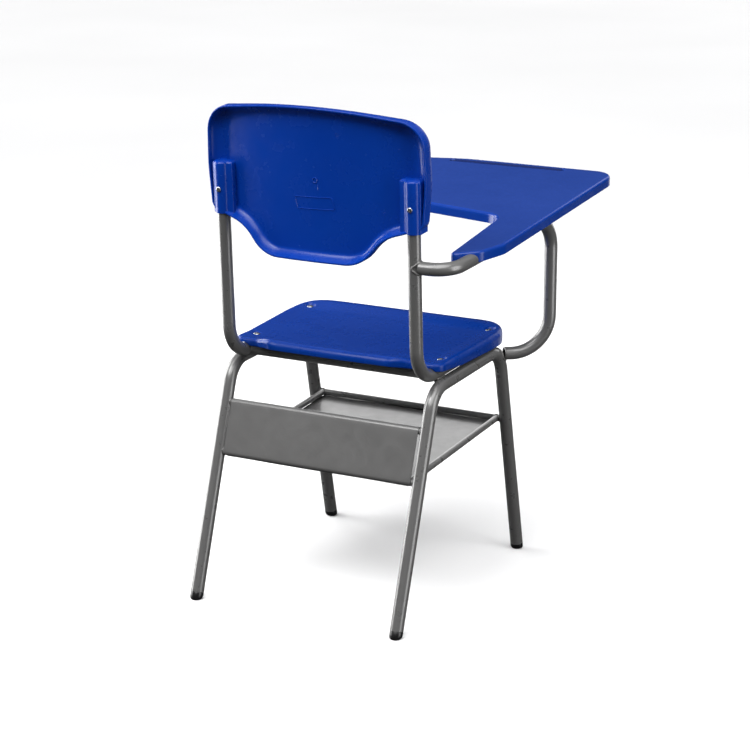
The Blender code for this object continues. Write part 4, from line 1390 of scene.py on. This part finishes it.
def make_sheet(upper, lower, front):
    """Rear panel hooked over the upper bar, bent under the lower bar, shelf up to the front bar."""
    clear = ROD_R + 0.0003
    down = (lower - upper).normalized()
    behind = Vector((-down.y, down.x))
    along = (front - lower).normalized()
    below = Vector((-along.y, along.x))

    def side_view(away):
        hook = (-down * 0.94 - behind * 0.34).normalized()
        line = swept(upper, hook, -down, 4, away)[:-1]
        line += swept(upper, -down, behind, 8, away)
        panel_end = lower + behind * away
        panel_start = line[-1]
        line += [panel_start + (panel_end - panel_start) * k / 14 for k in range(1, 14)]
        line += swept(lower, behind, below, 10, away)
        shelf_end = front + below * away
        shelf_start = line[-1]
        line += [shelf_start + (shelf_end - shelf_start) * k / 30 for k in range(1, 31)]
        line.append(front + along * (clear * 0.9) + below * away)
        return line

    inner, outer = side_view(clear), side_view(clear + SHEET_T)
    count = len(inner)
    cut = 4 + 9 + 13 + 6  # points on the hook, the top bend, the panel and half of the lower bend
    rng = random.Random(5)
    waves = [(rng.uniform(14.0, 30.0), rng.uniform(14.0, 30.0), rng.uniform(0, 6)) for _ in range(4)]
    columns = 41

    def point(flat, half, share, k):
        x = -half + 2.0 * half * share
        wave = sum(math.sin(x * a + flat.x * b + c) for a, b, c in waves) * 0.00012
        edge = min(1.0, share * 8.0, (1.0 - share) * 8.0)
        middle = math.sin(math.pi * min(max((k - 12) / 14.0, 0.0), 1.0)) if k < cut else 1.0
        dish = wave * edge * middle
        across = behind if k < cut else below
        return Vector((x, flat.x + across.x * dish, flat.y + across.y * dish))

    verts, faces = [], []
    for side_line in (inner, outer):
        for k, flat in enumerate(side_line):
            half = RACK_HALF_REAR if k < cut else RACK_HALF_SHELF + SHELF_LAP
            verts += [point(flat, half, c / (columns - 1), k) for c in range(columns)]
    layer = count * columns
    for k in range(count - 1):
        for c in range(columns - 1):
            a = k * columns + c
            quad = (a, a + 1, a + columns + 1, a + columns)
            faces.append(quad)
            faces.append(tuple(v + layer for v in quad[::-1]))
        for c in (0, columns - 1):
            a = k * columns + c
            faces.append((a, a + columns, a + columns + layer, a + layer))
    for k in (0, count - 1):
        for c in range(columns - 1):
            a = k * columns + c
            faces.append((a, a + 1, a + 1 + layer, a + layer))
    piece("rack_sheet_fine", verts, faces, RACK_PAINT, "rack_paint", ["rack_sheet"], 28.0)

    # Short tack welds that hold the sheet to the bars.
    for x in (-0.150, -0.050, 0.050, 0.150):
        for heart, out in ((upper, -down * 0.94 - behind * 0.34), (front, below * 0.6 + along * 0.8)):
            centre = heart + out.normalized() * (clear + 0.0002)
            line = [Vector((x + s, centre.x, centre.y)) for s in np.linspace(-0.006, 0.006, 6)]
            welds.append(bead_along(line, 0.0012, False, int(60 + x * 100)))


# ---- Room, light and camera ----


def make_room():
    """Pale floor, glowing pale backdrop wall and a sky that is dark low down and pale overhead."""
    size = 30.0
    mesh = bpy.data.meshes.new("floor")
    corners = [(-size, -size, 0), (size, -size, 0), (size, size, 0), (-size, size, 0)]
    mesh.from_pydata(corners, [], [(0, 1, 2, 3)])
    n = Nodes("floor_paint")
    tone = n.ramp(n.noise(0.7, 2.0), ((0.3, (0.86, 0.86, 0.865)), (0.7, (0.90, 0.90, 0.905))))
    n.link(tone, n.shader.inputs["Base Color"])
    n.set(Roughness=0.75, Specular_IOR_Level=0.15)
    mesh.materials.append(n.material)
    floor = stand("floor", mesh)
    floor.visible_diffuse = False
    floor.visible_glossy = False

    sides, radius, height = 96, 19.0, 14.0
    ring = circle(Vector((0, 0, 0)), Vector((1, 0, 0)), Vector((0, 1, 0)), radius, sides)
    verts = ring + [v + Vector((0, 0, height)) for v in ring]
    faces = [(k, (k + 1) % sides, sides + (k + 1) % sides, sides + k) for k in range(sides)]
    wall_mesh = bpy.data.meshes.new("backdrop")
    wall_mesh.from_pydata([tuple(v) for v in verts], [], faces)
    w = Nodes("backdrop_white")
    w.set(Base_Color=(0.9, 0.9, 0.9, 1.0), Emission_Color=(1.0, 1.0, 1.0, 1.0), Emission_Strength=0.93)
    wall_mesh.materials.append(w.material)
    wall = stand("backdrop", wall_mesh)
    wall.visible_diffuse = False
    wall.visible_glossy = False
    wall.visible_shadow = False

    world = bpy.data.worlds.new("studio")
    world.use_nodes = True
    tree = world.node_tree
    sky = tree.nodes["Background"]
    sky.inputs["Color"].default_value = (1.0, 1.0, 1.0, 1.0)
    place = tree.nodes.new("ShaderNodeTexCoord")
    parts = tree.nodes.new("ShaderNodeSeparateXYZ")
    fade = tree.nodes.new("ShaderNodeMapRange")
    fade.inputs["From Min"].default_value = 0.35
    fade.inputs["From Max"].default_value = 0.9
    fade.inputs["To Min"].default_value = 0.05
    fade.inputs["To Max"].default_value = 0.50
    tree.links.new(place.outputs["Generated"], parts.inputs["Vector"])
    tree.links.new(parts.outputs["Z"], fade.inputs["Value"])
    tree.links.new(fade.outputs["Result"], sky.inputs["Strength"])
    bpy.context.scene.world = world
    bpy.context.scene.view_settings.view_transform = "Standard"


def area_light(name, place, aim, size, power):
    """A rectangular lamp that the camera doesn't see."""
    data = bpy.data.lights.new(name, "AREA")
    data.shape = "RECTANGLE"
    data.size, data.size_y = size
    data.energy = power
    light = stand(name, data)
    light.location = Vector(place)
    light.rotation_mode = "QUATERNION"
    light.rotation_quaternion = (Vector(aim) - Vector(place)).to_track_quat("-Z", "Y")
    light.visible_camera = False
    return light


def make_lights(centre):
    """Tall soft boxes round the chair, each given by its radiance, and a wide soft sun above."""
    for name, azimuth, distance, height, size, radiance in (
        ("box_left", 93.0, 2.2, 0.45, (1.5, 2.2), 6.5),
        ("box_right", 268.0, 2.2, 0.45, (1.3, 2.2), 3.4),
        ("box_front_left", 56.0, 2.6, 0.30, (0.8, 2.6), 3.4),
        ("box_front_right", 352.0, 2.6, 0.30, (0.7, 2.6), 1.4),
        ("box_rear_high", 150.0, 1.6, 1.75, (0.9, 0.9), 6.5),
    ):
        a = math.radians(azimuth)
        place = centre + Vector((math.sin(a) * distance, -math.cos(a) * distance, height))
        area_light(name, place, centre, size, radiance * math.pi * size[0] * size[1])
    # A panel in front of the chair that lights the book rack only, under the seat.
    rack = bpy.data.collections.new("rack_light_group")
    for made in bpy.data.objects:
        if made.name.startswith("rack_"):
            rack.objects.link(made)
    place = centre + Vector((0.75, -1.50, 0.32))
    aim = centre + Vector((0.0, 0.0, -0.15))
    panel = area_light("panel_rack", place, aim, (2.4, 1.0), 2.0 * math.pi * 2.4)
    panel.light_linking.receiver_collection = rack
    sun = bpy.data.lights.new("ceiling", "SUN")
    sun.energy = 2.9
    sun.angle = math.radians(60.0)
    lamp = stand("ceiling", sun)
    lamp.rotation_euler = (math.radians(-25.0), math.radians(-6.0), 0.0)


def make_camera():
    """The camera at the photo's viewing angle, aimed at the chair; returns what it aims at."""
    azimuth, elevation, distance = math.radians(207.6), math.radians(16.2), 3.8859
    target = Vector((-0.0848, 0.0032, 0.400)) + SHIFT
    back = Vector(
        (
            math.sin(azimuth) * math.cos(elevation),
            -math.cos(azimuth) * math.cos(elevation),
            math.sin(elevation),
        )
    )
    data = bpy.data.cameras.new("camera")
    data.sensor_width = 36.0
    data.lens = 113.03
    data.clip_end = 100.0
    camera = stand("camera", data)
    camera.location = target + back * distance
    camera.rotation_mode = "QUATERNION"
    camera.rotation_quaternion = back.to_track_quat("Z", "Y")
    bpy.context.scene.camera = camera
    return target


make_frame()
make_caps()
make_plugs()
make_seat()
make_rivets()
make_back()
make_back_screws()
make_mould_marks()
make_tablet()
make_brackets()
make_rack()
piece("weld_beads", *gather(welds), WELD, "frame_paint", (), 60.0)
make_room()
make_lights(make_camera())
